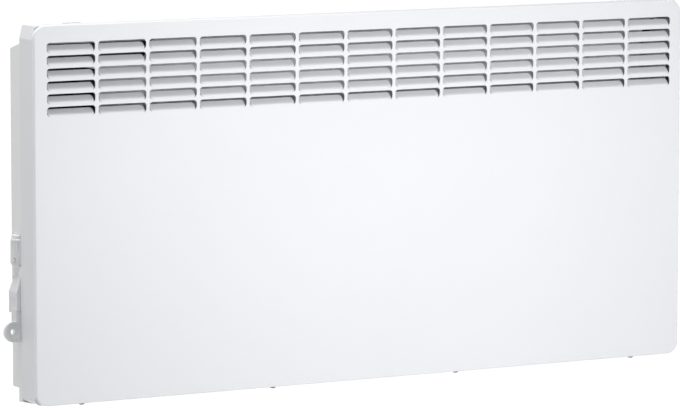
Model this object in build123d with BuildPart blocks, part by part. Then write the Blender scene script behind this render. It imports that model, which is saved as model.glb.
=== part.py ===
from build123d import *
import math
import os

os.makedirs("parts", exist_ok=True)

# Slim wall panel convector heater, in millimetres.
# X runs across the front from left to right, Y from the room to the wall, Z up.
# The origin is the middle of the four wall screws, on the wall itself.

# Overall size
width = 894.0
height = 450.0
depth = 78.0  # from the wall to the panel's face

# Wall screws
screw_span = 520.0  # between the left and right screws
screw_rise = 240.0  # between the lower and upper screws
low_screw_height = 90.0  # lower screws above the panel's bottom edge
wall_screw_radius = 3.5

# Front panel
panel_sheet = 1.0
panel_edge = 6.0  # depth of its turned edge
panel_corner = 15.0
panel_bend = 1.6

# Louvres
louvre_columns = 13
louvre_rows = 6
louvre_pitch = 66.6
louvre_rise = 15.05
window_length = 61.2
window_height = 10.4
window_corner = 4.0
corner_steps = 3
first_row_drop = 25.5  # panel's top edge to the middle of the first row
blade_length = 10.0
blade_lean = 43.0
blade_side_gap = 0.8
blade_corner = 2.0

# Casing: the band behind the panel
casing_inset = 0.8
casing_sheet = 0.9
casing_corner = 15.0
casing_back = 43.0  # depths are measured back from the panel's face
casing_rim = 12.0
crown_radius = 4.0
casing_taper = 3.6  # each side leans in by this much at its top
casing_shoulder = 16.0  # height over which it leans in
casing_top_corner = 3.0
inlet_front = 15.0
inlet_back = 33.0
inlet_margin = 26.0
slit_length = 24.0
slit_depth = 4.0
slit_from_side = 48.0

# Rear band and back plate: the deeper tray behind the casing
rear_inset = 0.4
rear_sheet = 0.8
rear_rim = 53.0
rear_back = 70.0
rear_foot = 16.0  # height of the step under the deep part
rear_drop = 23.0  # top of the tray below the panel's top, at the casing
rear_slope = 7.0  # further fall towards the wall
lip_front = 35.0
lip_back = 46.0
slide_fit = 0.3
lip_fit = 0.1

# Bottom grille and its screws
grille_sheet = 1.0
grille_front = 8.0
grille_corner = 24.0
grille_slots = 26
grille_slot_length = 24.0
grille_slot_width = 14.0
foot_screw_radius = 4.0
foot_screw_head = 2.7
foot_screw_pitch = 255.6
foot_screw_depth = 12.0

# Wall rails
rail_sheet = 1.2
rail_gap = depth - rear_back
rail_height = 44.0
upper_rail_length = 600.0
lower_rail_length = 884.0
hook_offset = 220.0
hook_width = 30.0
hook_rise = 10.0
hook_seat = 15.0  # hook's bearing edge above the upper screws
hook_slot_drop = 13.0

# Thermostat
dial_radius = 12.0
dial_collar_radius = 10.8
dial_low = 162.5  # heights are measured up from the panel's bottom edge
dial_height = 37.0
dial_collar = 5.0
dial_bevel = 1.4
dial_reach = 7.0  # how far its rim stands out of the side
dial_depth = 56.4
dial_flutes = 20
flute_height = 15.0
flute_depth = 0.8
flute_width = 1.9
dial_window_gap = 0.7
spindle_radius = 2.5
spindle_flat = 0.7
spindle_length = 24.0
spindle_fit = 0.05
thermostat_width = 30.0
thermostat_front = 51.5
thermostat_back = 68.0
thermostat_height = 28.0
thermostat_gap = 1.5  # between the dial and the body above it
thermostat_side_gap = 0.4
bracket_sheet = 1.0
terminal_width = 6.3
terminal_sheet = 0.8
terminal_length = 8.0
terminal_spacing = 14.0

# Wall lock
lock_front = 45.5
lock_back = 69.4
lock_reach = 5.0
lock_low = 109.3
lock_shoulder = 131.0
lock_high = 150.0
lock_taper = 6.5
lock_pocket = 13.0  # depth of its moulding inside the side
lock_wall = 2.0  # least wall left behind the ramp
lock_inset = 0.5  # depth of the sunk panel in its face
collar_height = 3.5
pull_gap = 0.3
pull_travel = 8.0
neck_reach = 6.8
neck_depth = 14.5
neck_low = 92.3
eye_reach = 9.15
eye_radius = 12.2
eye_height = 84.4
eye_sheet = 4.0
eye_hole = 3.3
eye_dish = 10.2
stem_width = 12.0
stem_setback = 1.3
stem_forward = 4.2
stem_depth = 8.0
stem_top = 121.0
tongue_sheet = 3.0
tongue_width = 6.0
keeper_overlap = 5.4

# Electrics bay and the heating chamber
partition_from_side = 82.0  # in line with the bar after the first louvre column
partition_sheet = 1.0
chamber_end = 17.0  # right end of the chamber in from the panel's edge
shield_depth = 61.0
shield_low = 20.0
shield_high = 396.0
shield_foot = 10.0
shield_skin = 0.6
guide_front = 8.5  # the guide's front edge, behind the casing's rim
guide_high = 438.0
guide_knee_depth = 34.0
guide_knee_high = 423.0
guide_lap = 20.0
guide_from_side = 168.0
shield_slot_place = 322.0
shield_slot_high = 377.0
shield_slot_width = 20.0
shield_slot_height = 12.0
front_shield_depth = 10.0
front_shield_high = 330.0
element_depth = 36.0
element_height = 72.0
element_arm = 30.0
element_arm_sheet = 2.0
element_rib = 12.0
element_angle = 50.0
element_hub = 8.0
element_gap = 14.0
rod_radius = 4.2
rod_fit = 0.05
rod_tail = 26.0
stud_radius = 1.0
stud_length = 8.0
stud_offset = 2.2
bush_radius = 8.0
bush_length = 9.0
bush_flange = 11.0
bush_fit = 0.1
cutout_radius = 8.0
cutout_body = 9.0
cutout_spacing = 9.0
cutout_height = 185.0
block_length = 50.0
block_depth = 14.0
block_height = 22.0
block_low = 40.0
block_pitch = 12.0
block_well = 3.0
block_well_depth = 6.0
block_from_side = 45.0
gland_radius = 6.0
gland_flange = 9.0
gland_bore = 3.75
gland_from_side = 47.0
gland_height = 30.0
gland_fit = 0.1
bulb_radius = 3.0
bulb_length = 44.0
bulb_height = 9.0
bulb_from_side = 49.0
bulb_depth = 40.0
tube_turn = 12.0
capillary_radius = 0.8
wire_radius = 1.3
wire_loop = 16.0
wire_side = 23.0
screw_shank = 2.0
screw_fit = 0.1
back_screw_head = 4.0  # corner radius of its six-sided head
back_screw_rise = 2.2
back_screw_length = 7.0
screw_margin = 40.0

# Places worked out from the sizes above
front_y = -depth
low_z = -(low_screw_height + screw_rise / 2)
high_z = low_z + height
mid_z = (low_z + high_z) / 2
left_x = -width / 2
casing_front_y = front_y + panel_edge
casing_back_y = front_y + casing_back
casing_half = width / 2 - casing_inset
casing_low = low_z + casing_inset
casing_high = high_z - casing_inset
rear_half = casing_half - rear_inset
rear_rim_y = front_y + rear_rim
rear_back_y = front_y + rear_back
rear_high = high_z - rear_drop
side_x = -rear_half  # outer face of the tray's left side
inside_x = side_x + rear_sheet
inside_back_y = rear_back_y - rear_sheet
partition_x = left_x + partition_from_side
chamber_x = width / 2 - chamber_end
guide_fit = 0.2


def drawn_sheet(points, plane, length):
    """A closed outline of straight edges on a plane, pulled to a length."""
    with BuildPart() as piece:
        with BuildSketch(plane):
            with BuildLine():
                Polyline(*points, close=True)
            make_face()
        extrude(amount=length)
    return piece.part


def laid_wire(points, bends, radius):
    """A six-sided wire or fine tube along straight runs joined by tangent bends."""
    with BuildPart() as piece:
        with BuildLine() as route:
            FilletPolyline(*points, radius=bends)
        with BuildSketch(Plane(origin=route.line @ 0, z_dir=route.line % 0)):
            RegularPolygon(radius, side_count=6)
        sweep()
    return piece.part


# ---------------------------------------------------------------- front panel
# The panel is a tray with its edge turned back all round.
# Each window's two upper corners are quarter circles drawn in a few straight steps.
corner_turns = [math.radians(90 * step / corner_steps) for step in range(corner_steps + 1)]
right_corner = [
    (
        window_length / 2 - window_corner * (1 - math.cos(turn)),
        window_height / 2 - window_corner * (1 - math.sin(turn)),
    )
    for turn in corner_turns
]
left_corner = [(-x, y) for x, y in reversed(right_corner)]
with BuildSketch() as window:
    with BuildLine():
        Polyline(
            (-window_length / 2, -window_height / 2),
            (window_length / 2, -window_height / 2),
            *right_corner,
            *left_corner,
            close=True,
        )
    make_face()

# One blade: a tab left along the window's lower edge and leaned back into the heater.
lean = math.radians(blade_lean)
blade_span = window_length - 2 * blade_side_gap
blade_root = -panel_sheet * math.tan(lean / 2)
blade_tip = (blade_length * math.sin(lean), blade_length * math.cos(lean))
blade_heel = (
    blade_tip[0] + panel_sheet * math.cos(lean),
    blade_tip[1] - panel_sheet * math.sin(lean),
)
with BuildPart() as blade:
    with BuildSketch(Plane.YZ.offset(-blade_span / 2)):
        with BuildLine():
            Polyline(
                (0, 0),
                blade_tip,
                blade_heel,
                (panel_sheet, blade_root),
                (0, blade_root),
                close=True,
            )
        make_face()
    extrude(amount=blade_span)
    tip_corners = [
        edge
        for edge in blade.edges().group_by(Axis.X)[0] + blade.edges().group_by(Axis.X)[-1]
        if edge.center().Z > blade_heel[1] and edge.length < panel_sheet * 1.01
    ]
    chamfer(tip_corners, length=blade_corner)

louvre_mid_z = high_z - first_row_drop - louvre_rise * (louvre_rows - 1) / 2
with BuildPart() as front_panel:
    with BuildSketch(Plane.XZ.offset(-casing_front_y)):
        with Locations((0, mid_z)):
            RectangleRounded(width, height, panel_corner)
    extrude(amount=panel_edge)
    fillet(front_panel.faces().sort_by(Axis.Y)[0].edges(), radius=panel_bend)
    offset(amount=-panel_sheet, openings=front_panel.faces().sort_by(Axis.Y)[-1])
    with BuildSketch(Plane.XZ.offset(-casing_front_y)):
        with Locations((0, louvre_mid_z)):
            with GridLocations(louvre_pitch, louvre_rise, louvre_columns, louvre_rows):
                add(window.sketch)
    extrude(amount=panel_edge, mode=Mode.SUBTRACT)
    with Locations((0, front_y, louvre_mid_z - window_height / 2)):
        with Locations(Rotation(90, 0, 0)):
            with GridLocations(louvre_pitch, louvre_rise, louvre_columns, louvre_rows):
                with Locations(Rotation(-90, 0, 0)):
                    add(blade.part)
front_panel.part.label = "front_panel"
export_step(front_panel.part, "parts/front_panel.step")

# --------------------------------------------------------------------- casing
# The casing is the same form twice, the second a sheet's thickness smaller.


def casing_form(inset, front, back):
    """Band with its sides leaned in at the top and its top back edge eased."""
    with BuildPart() as form:
        with BuildSketch(Plane.XZ.offset(-back)):
            with BuildLine():
                Polyline(
                    (-casing_half, casing_low),
                    (casing_half, casing_low),
                    (casing_half, casing_high - casing_shoulder),
                    (casing_half - casing_taper, casing_high),
                    (casing_taper - casing_half, casing_high),
                    (-casing_half, casing_high - casing_shoulder),
                    close=True,
                )
            outline = make_face()
            fillet(outline.vertices().group_by(Axis.Y)[0], radius=casing_corner)
            fillet(outline.vertices().group_by(Axis.Y)[-1], radius=casing_top_corner)
            if inset:
                offset(amount=-inset)
        extrude(amount=back - front)
        with BuildSketch(Plane.YZ.offset(-width)):
            with BuildLine():
                roll = crown_radius - inset
                Line((front, casing_low), (front, casing_high - inset))
                Line((front, casing_high - inset), (back - roll, casing_high - inset))
                RadiusArc((back - roll, casing_high - inset), (back, casing_high - inset - roll), roll)
                Line((back, casing_high - inset - roll), (back, casing_low))
                Line((back, casing_low), (front, casing_low))
            make_face()
        extrude(amount=2 * width, mode=Mode.INTERSECT)
    return form.part


casing_room = casing_form(casing_sheet, casing_front_y + casing_sheet, casing_back_y - casing_sheet)
casing_mouth = rear_high - rear_sheet
with BuildPart() as casing:
    add(casing_form(0, casing_front_y, casing_back_y))
    add(casing_room, mode=Mode.SUBTRACT)
    # front opening, framed by the rim that carries the panel
    with BuildSketch(Plane.XZ.offset(-(casing_front_y + casing_sheet))):
        with Locations((0, mid_z)):
            RectangleRounded(
                2 * (casing_half - casing_rim),
                casing_high - casing_low - 2 * casing_rim,
                casing_corner / 3,
            )
    extrude(amount=casing_sheet, mode=Mode.SUBTRACT)
    # back opening for the tray's lip
    with BuildSketch(Plane.XZ.offset(-casing_back_y)):
        with Locations((0, (casing_low + casing_sheet + casing_mouth) / 2)):
            mouth = Rectangle(
                2 * (casing_half - casing_sheet),
                casing_mouth - casing_low - casing_sheet,
            )
            fillet(mouth.vertices().group_by(Axis.Y)[0], radius=casing_corner - casing_sheet)
    extrude(amount=casing_sheet, mode=Mode.SUBTRACT)
    # air inlet in the underside
    with BuildSketch(Plane.XY.offset(casing_low)):
        with Locations((0, front_y + (inlet_front + inlet_back) / 2)):
            Rectangle(2 * (casing_half - inlet_margin), inlet_back - inlet_front)
        for place in (-1.5, -0.5, 0.5, 1.5):
            with Locations((place * foot_screw_pitch, front_y + foot_screw_depth)):
                Circle(screw_shank + screw_fit)
    extrude(amount=casing_sheet, mode=Mode.SUBTRACT)
    # narrow tool slit in the crown, above the left end
    with BuildSketch(Plane.XY.offset(casing_high)):
        with Locations((left_x + slit_from_side + slit_length / 2, casing_back_y - crown_radius - slit_depth / 2)):
            Rectangle(slit_length, slit_depth)
    extrude(amount=-casing_sheet * 2, mode=Mode.SUBTRACT)
casing.part.label = "casing"
export_step(casing.part, "parts/casing.step")

# ----------------------------------------------------- fastening places, tray
block_x = left_x + block_from_side
block_mid_z = low_z + block_low + block_height / 2
dial_x = side_x - dial_reach + dial_radius
dial_y = front_y + dial_depth
dial_base_z = low_z + dial_low
dial_top_z = dial_base_z + dial_height
thermostat_z = dial_top_z + thermostat_gap
thermostat_x = inside_x + thermostat_side_gap
thermostat_y = front_y + (thermostat_front + thermostat_back) / 2
bracket_x = thermostat_x + thermostat_width
foot_half = shield_foot / 2
shield_left = partition_x + partition_sheet + guide_fit
shield_right = chamber_x - guide_fit
plate_screw_z = [low_z + shield_low + screw_margin, low_z + shield_high - screw_margin]
shield_screw_z = low_z + (shield_low + shield_high) / 2
bracket_screws = [
    (bracket_x + bracket_sheet + foot_half, thermostat_z + foot_half),
    (bracket_x + bracket_sheet + foot_half, thermostat_z + thermostat_height - foot_half),
]
partition_screws = [(partition_x - foot_half, z) for z in plate_screw_z]
end_screws = [(chamber_x + partition_sheet + foot_half, z) for z in plate_screw_z]
shield_screws = [
    (shield_left + foot_half, shield_screw_z),
    (shield_right - foot_half, shield_screw_z),
]
block_screws = [
    (block_x - block_length / 2 + foot_half, block_mid_z),
    (block_x + block_length / 2 - foot_half, block_mid_z),
]
screw_places = bracket_screws + partition_screws + end_screws + shield_screws + block_screws

# -------------------------------------------------- rear band and back plate
tongue_z = low_z + lock_low + 1.0
upper_screw_z = screw_rise / 2
hook_z = upper_screw_z + hook_seat
stem_x = side_x - lock_reach + stem_setback
stem_y = front_y + lock_front + stem_forward + stem_depth / 2
tongue_x = stem_x + stem_width - tongue_width / 2
gland_x = left_x + gland_from_side
gland_z = low_z + gland_height
slot_low = low_z + lock_low - pull_gap - pull_travel - 1
slot_high = low_z + lock_low + 6
lip_low = casing_low + casing_sheet + slide_fit
lip_high = casing_mouth - slide_fit
lip_half = casing_half - casing_sheet - lip_fit
dial_inward = dial_radius - dial_reach - 2 * rear_sheet
dial_chord = math.sqrt(dial_radius**2 - dial_inward**2)
with BuildPart() as rear_band:
    # the tray's side view, pulled across the whole width
    with BuildSketch(Plane.YZ.offset(-rear_half)):
        with BuildLine():
            Polyline(
                (casing_back_y, casing_low),
                (rear_rim_y, casing_low),
                (rear_rim_y, low_z + rear_foot),
                (inside_back_y, low_z + rear_foot),
                (inside_back_y, rear_high - rear_slope),
                (casing_back_y, rear_high),
                close=True,
            )
        make_face()
    extrude(amount=2 * rear_half)
    open_ends = rear_band.faces().sort_by(Axis.Y)
    offset(amount=-rear_sheet, openings=[open_ends[0], open_ends[-1]])
    # the lip that reaches into the casing
    with BuildSketch(Plane.XZ.offset(-(front_y + lip_back))):
        with Locations((0, (lip_low + lip_high) / 2)):
            RectangleRounded(2 * lip_half, lip_high - lip_low, casing_corner)
            RectangleRounded(
                2 * (lip_half - rear_sheet),
                lip_high - lip_low - 2 * rear_sheet,
                casing_corner - rear_sheet,
                mode=Mode.SUBTRACT,
            )
    extrude(amount=lip_back - lip_front)
    # webs that close the two lower corners beside the casing's round ones
    with BuildSketch(Plane.XZ.offset(-(casing_back_y + rear_sheet))):
        with Locations((0, casing_low + casing_corner / 2)):
            Rectangle(2 * rear_half, casing_corner)
        with Locations((0, (lip_low + lip_high) / 2)):
            RectangleRounded(
                2 * (lip_half - rear_sheet / 2),
                lip_high - lip_low - rear_sheet,
                casing_corner - rear_sheet / 2,
                mode=Mode.SUBTRACT,
            )
    extrude(amount=rear_sheet)
    # window for the dial and opening for the wall lock, both in the left side
    with BuildSketch(Plane.YZ.offset(side_x - 1)):
        with Locations((dial_y, (dial_base_z + dial_top_z) / 2)):
            Rectangle(2 * (dial_chord + dial_window_gap), dial_height + 2 * dial_window_gap)
        with Locations((front_y + (lock_front + lock_back) / 2, low_z + (lock_low + lock_high) / 2 + 1)):
            Rectangle(lock_back - lock_front - 4, lock_high - lock_low - 6)
        with Locations((stem_y, (slot_low + slot_high) / 2)):
            Rectangle(stem_depth + 1, slot_high - slot_low)
    extrude(amount=rear_sheet * 2 + 2, mode=Mode.SUBTRACT)
rear_band.part.label = "rear_band"
export_step(rear_band.part, "parts/rear_band.step")

# the flat plate that closes the band towards the wall
plate_low = low_z + rear_foot
plate_high = rear_high - rear_slope
with BuildPart() as back_plate:
    with BuildSketch(Plane.XZ.offset(-rear_back_y)):
        with Locations((0, (plate_low + plate_high) / 2)):
            Rectangle(2 * rear_half, plate_high - plate_low)
        # hook slots, lock slot, cord inlet and screw holes
        for side in (-1, 1):
            with Locations((side * hook_offset, hook_z + rail_sheet - hook_slot_drop / 2)):
                Rectangle(hook_width + 2, hook_slot_drop, mode=Mode.SUBTRACT)
        with Locations((tongue_x, tongue_z + 1)):
            Rectangle(tongue_width + 1.6, 2 * (pull_travel + 3), mode=Mode.SUBTRACT)
        with Locations((gland_x, gland_z)):
            Circle(gland_radius + gland_fit, mode=Mode.SUBTRACT)
        for place in screw_places:
            with Locations(place):
                Circle(screw_shank + screw_fit, mode=Mode.SUBTRACT)
    extrude(amount=rear_sheet)
back_plate.part.label = "back_plate"
export_step(back_plate.part, "parts/back_plate.step")

# -------------------------------------------------------------- bottom grille
grille_back_y = rear_rim_y
grille_front_y = front_y + grille_front
with BuildPart() as bottom_grille:
    with BuildSketch(Plane.XY.offset(casing_low - grille_sheet)):
        with BuildLine():
            Polyline(
                (-casing_half, grille_back_y),
                (casing_half, grille_back_y),
                (casing_half - grille_corner / 4, grille_back_y - grille_corner),
                (casing_half - grille_corner, grille_front_y),
                (-casing_half + grille_corner, grille_front_y),
                (-casing_half + grille_corner / 4, grille_back_y - grille_corner),
                close=True,
            )
        make_face()
        slot_pitch = 2 * (casing_half - inlet_margin) / grille_slots
        with Locations((0, front_y + (inlet_front + inlet_back) / 2 + 1)):
            with GridLocations(slot_pitch, 1, grille_slots, 1):
                Rectangle(grille_slot_length, grille_slot_width, mode=Mode.SUBTRACT)
        for place in (-1.5, -0.5, 0.5, 1.5):
            with Locations((place * foot_screw_pitch, front_y + foot_screw_depth)):
                Circle(screw_shank + screw_fit, mode=Mode.SUBTRACT)
    extrude(amount=grille_sheet)
bottom_grille.part.label = "bottom_grille"
export_step(bottom_grille.part, "parts/bottom_grille.step")

# the four dark screws that show under the panel's bottom edge
with BuildPart() as bottom_screws:
    with BuildSketch(Plane.XY.offset(casing_low - grille_sheet)):
        for place in (-1.5, -0.5, 0.5, 1.5):
            with Locations((place * foot_screw_pitch, front_y + foot_screw_depth)):
                Circle(foot_screw_radius)
    extrude(amount=-foot_screw_head)
    with BuildSketch(Plane.XY.offset(casing_low - grille_sheet)):
        for place in (-1.5, -0.5, 0.5, 1.5):
            with Locations((place * foot_screw_pitch, front_y + foot_screw_depth)):
                Circle(screw_shank)
    extrude(amount=grille_sheet + casing_sheet + 4)
bottom_screws.part.label = "bottom_screws"
export_step(bottom_screws.part, "parts/bottom_screws.step")

# the six-sided screws that hold the inner sheets, put in from the back
with BuildPart() as back_screws:
    with BuildSketch(Plane.XZ.offset(-rear_back_y)):
        for place in screw_places:
            with Locations(place):
                Circle(screw_shank)
    extrude(amount=back_screw_length)
    with BuildSketch(Plane.XZ.offset(-rear_back_y)):
        for place in screw_places:
            with Locations(place):
                RegularPolygon(back_screw_head, side_count=6)
    extrude(amount=-back_screw_rise)
back_screws.part.label = "back_screws"
export_step(back_screws.part, "parts/back_screws.step")

# ----------------------------------------------------------------- wall rails
rail_base_y = -rail_sheet
flange_y = -rail_gap
upper_low = upper_screw_z - rail_height / 2
upper_high = upper_screw_z + rail_height / 2
channel = [
    (0, 0),
    (0, rail_height),
    (flange_y, rail_height),
    (flange_y, rail_height - rail_sheet),
    (rail_base_y, rail_height - rail_sheet),
    (rail_base_y, rail_sheet),
    (flange_y, rail_sheet),
    (flange_y, 0),
]
hook_drop = upper_high - hook_z
with BuildPart() as wall_rail_upper:
    add(
        drawn_sheet(
            [(y, z + upper_low) for y, z in channel],
            Plane.YZ.offset(-upper_rail_length / 2),
            upper_rail_length,
        )
    )
    with BuildSketch(Plane.XZ):
        for side in (-1, 1):
            with Locations((side * screw_span / 2, upper_screw_z)):
                Circle(wall_screw_radius)
    extrude(amount=rail_sheet, mode=Mode.SUBTRACT)
    # hooks: tabs that pass through the cover's slots and turn up behind it
    hook_front = inside_back_y - 1.8 - rail_sheet
    for side in (-1, 1):
        add(
            drawn_sheet(
                [
                    (rail_base_y, hook_z),
                    (rail_base_y, hook_z + rail_sheet),
                    (hook_front + rail_sheet, hook_z + rail_sheet),
                    (hook_front + rail_sheet, hook_z + hook_rise),
                    (hook_front, hook_z + hook_rise),
                    (hook_front, hook_z),
                ],
                Plane.YZ.offset(side * hook_offset - hook_width / 2),
                hook_width,
            )
        )
wall_rail_upper.part.label = "wall_rail_upper"
export_step(wall_rail_upper.part, "parts/wall_rail_upper.step")

lower_base = -screw_rise / 2 - rail_height / 2 + 10
keeper_low = tongue_z + tongue_sheet + 0.6
tip_high = keeper_low + keeper_overlap
keeper_y = rear_back_y + 1.6
with BuildPart() as wall_rail_lower:
    add(
        drawn_sheet(
            [(y, z + lower_base) for y, z in channel],
            Plane.YZ.offset(-lower_rail_length / 2),
            lower_rail_length,
        )
    )
    with BuildSketch(Plane.XZ):
        for side in (-1, 1):
            with Locations((side * screw_span / 2, -screw_rise / 2)):
                Circle(wall_screw_radius)
    extrude(amount=rail_sheet, mode=Mode.SUBTRACT)
    # keeper for the lock's tongue, turned down from the top flange
    keeper_right = tongue_x + tongue_width / 2 + 3
    add(
        drawn_sheet(
            [
                (keeper_y, keeper_low),
                (keeper_y + rail_sheet, keeper_low),
                (keeper_y + rail_sheet, lower_base + rail_height),
                (keeper_y, lower_base + rail_height),
            ],
            Plane.YZ.offset(-lower_rail_length / 2),
            keeper_right + lower_rail_length / 2,
        )
    )
wall_rail_lower.part.label = "wall_rail_lower"
export_step(wall_rail_lower.part, "parts/wall_rail_lower.step")

# ----------------------------------------------------------------- thermostat
dial_shoulder = dial_top_z - dial_collar
with BuildPart() as thermostat_dial:
    with BuildSketch(Plane.XZ.offset(-dial_y)):
        with BuildLine():
            Polyline(
                (dial_x, dial_base_z),
                (dial_x + dial_radius - 2.5, dial_base_z),
                (dial_x + dial_radius - 0.8, dial_base_z + 1.0),
                (dial_x + dial_radius, dial_base_z + 3.0),
                (dial_x + dial_radius, dial_shoulder - dial_bevel),
                (dial_x + dial_collar_radius, dial_shoulder),
                (dial_x + dial_collar_radius, dial_top_z - 1.0),
                (dial_x + dial_collar_radius - 1.0, dial_top_z),
                (dial_x, dial_top_z),
                close=True,
            )
        make_face()
    revolve(axis=Axis((dial_x, dial_y, 0), (0, 0, 1)))
    # grip flutes round the upper half of the rim
    with BuildSketch(Plane.XY.offset(dial_shoulder - dial_bevel)):
        with Locations((dial_x, dial_y)):
            with PolarLocations(dial_radius - flute_depth, dial_flutes):
                Polygon((0, 0), (2, flute_width), (2, -flute_width), align=None)
    extrude(amount=-flute_height, mode=Mode.SUBTRACT)
    with BuildSketch(Plane.XY.offset(dial_top_z)):
        with Locations((dial_x, dial_y)):
            bore = Circle(spindle_radius + spindle_fit)
            with Locations((2 * spindle_radius - spindle_flat + spindle_fit, 0)):
                Rectangle(2 * spindle_radius, 4 * spindle_radius, mode=Mode.SUBTRACT)
    extrude(amount=-dial_height / 2, mode=Mode.SUBTRACT)
thermostat_dial.part.label = "thermostat_dial"
export_step(thermostat_dial.part, "parts/thermostat_dial.step")

spindle_foot = dial_top_z - dial_height / 2 + 0.2
with BuildPart() as thermostat_spindle:
    with BuildSketch(Plane.XY.offset(spindle_foot)):
        with Locations((dial_x, dial_y)):
            Circle(spindle_radius)
            with Locations((2 * spindle_radius - spindle_flat, 0)):
                Rectangle(2 * spindle_radius, 4 * spindle_radius, mode=Mode.SUBTRACT)
    extrude(amount=dial_top_z - spindle_foot)
    with BuildSketch(Plane.XY.offset(dial_top_z)):
        with Locations((dial_x, dial_y)):
            Circle(spindle_radius)
    extrude(amount=spindle_length - (dial_top_z - spindle_foot))
thermostat_spindle.part.label = "thermostat_spindle"
export_step(thermostat_spindle.part, "parts/thermostat_spindle.step")

thermostat_mid_x = thermostat_x + thermostat_width / 2
with BuildPart() as thermostat_body:
    with BuildSketch(Plane.XY.offset(thermostat_z)):
        with Locations((thermostat_mid_x, thermostat_y)):
            Rectangle(thermostat_width, thermostat_back - thermostat_front)
    extrude(amount=thermostat_height)
    fillet(thermostat_body.edges().filter_by(Axis.Z), radius=0.8)
    with BuildSketch(Plane.XY.offset(thermostat_z)):
        with Locations((dial_x, dial_y)):
            Circle(spindle_radius + spindle_fit)
    extrude(amount=spindle_foot + spindle_length - thermostat_z + 0.5, mode=Mode.SUBTRACT)
    # terminal blades on top
    with BuildSketch(Plane.XY.offset(thermostat_z + thermostat_height)):
        with Locations((thermostat_mid_x, dial_y)):
            with GridLocations(terminal_spacing, 1, 2, 1):
                Rectangle(terminal_width, terminal_sheet)
    extrude(amount=terminal_length)
thermostat_body.part.label = "thermostat_body"
export_step(thermostat_body.part, "parts/thermostat_body.step")

with BuildPart() as thermostat_bracket:
    add(
        drawn_sheet(
            [
                (bracket_x, front_y + thermostat_front),
                (bracket_x + bracket_sheet, front_y + thermostat_front),
                (bracket_x + bracket_sheet, inside_back_y - bracket_sheet),
                (bracket_x + bracket_sheet + shield_foot, inside_back_y - bracket_sheet),
                (bracket_x + bracket_sheet + shield_foot, inside_back_y),
                (bracket_x, inside_back_y),
            ],
            Plane.XY.offset(thermostat_z),
            thermostat_height,
        )
    )
    with BuildSketch(Plane.XZ.offset(-inside_back_y)):
        for place in bracket_screws:
            with Locations(place):
                Circle(screw_shank + screw_fit)
    extrude(amount=bracket_sheet, mode=Mode.SUBTRACT)
thermostat_bracket.part.label = "thermostat_bracket"
export_step(thermostat_bracket.part, "parts/thermostat_bracket.step")

# Room sensor: a bulb low in the air inlet and the fine tube up to the thermostat.
bulb_x = inside_x + bulb_from_side
bulb_y = front_y + bulb_depth
bulb_z = casing_low + bulb_height
tube_x = bulb_x - tube_turn
tube_z = thermostat_z + thermostat_height / 2
with BuildPart() as sensor_tube:
    add(
        laid_wire(
            [
                (bulb_x, bulb_y, bulb_z),
                (tube_x, bulb_y, bulb_z),
                (tube_x, bulb_y, tube_z),
                (thermostat_mid_x, bulb_y, tube_z),
                (thermostat_mid_x, front_y + thermostat_front, tube_z),
            ],
            [6, 10, 5],
            capillary_radius,
        )
    )
    with BuildSketch(Plane.YZ.offset(bulb_x)):
        with Locations((bulb_y, bulb_z)):
            Circle(bulb_radius)
    extrude(amount=bulb_length)
sensor_tube.part.label = "sensor_tube"
export_step(sensor_tube.part, "parts/sensor_tube.step")

# two clips that hold the bulb to the tray's lip
clip_y = bulb_y
lip_floor = casing_low + casing_sheet + slide_fit + rear_sheet
with BuildPart() as sensor_clips:
    for place in (0.2, 0.8):
        with BuildSketch(Plane.YZ.offset(bulb_x + place * bulb_length - 3)):
            with Locations((clip_y, bulb_z)):
                Circle(bulb_radius + 1.2)
            with Locations((clip_y, (bulb_z + lip_floor) / 2)):
                Rectangle(2 * bulb_radius, bulb_z - lip_floor)
            with Locations((clip_y, bulb_z)):
                Circle(bulb_radius + rod_fit, mode=Mode.SUBTRACT)
            with Locations((clip_y, bulb_z + bulb_radius + 1)):
                Rectangle(bulb_radius, 2 * bulb_radius, mode=Mode.SUBTRACT)
        extrude(amount=6)
sensor_clips.part.label = "sensor_clips"
export_step(sensor_clips.part, "parts/sensor_clips.step")

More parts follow.
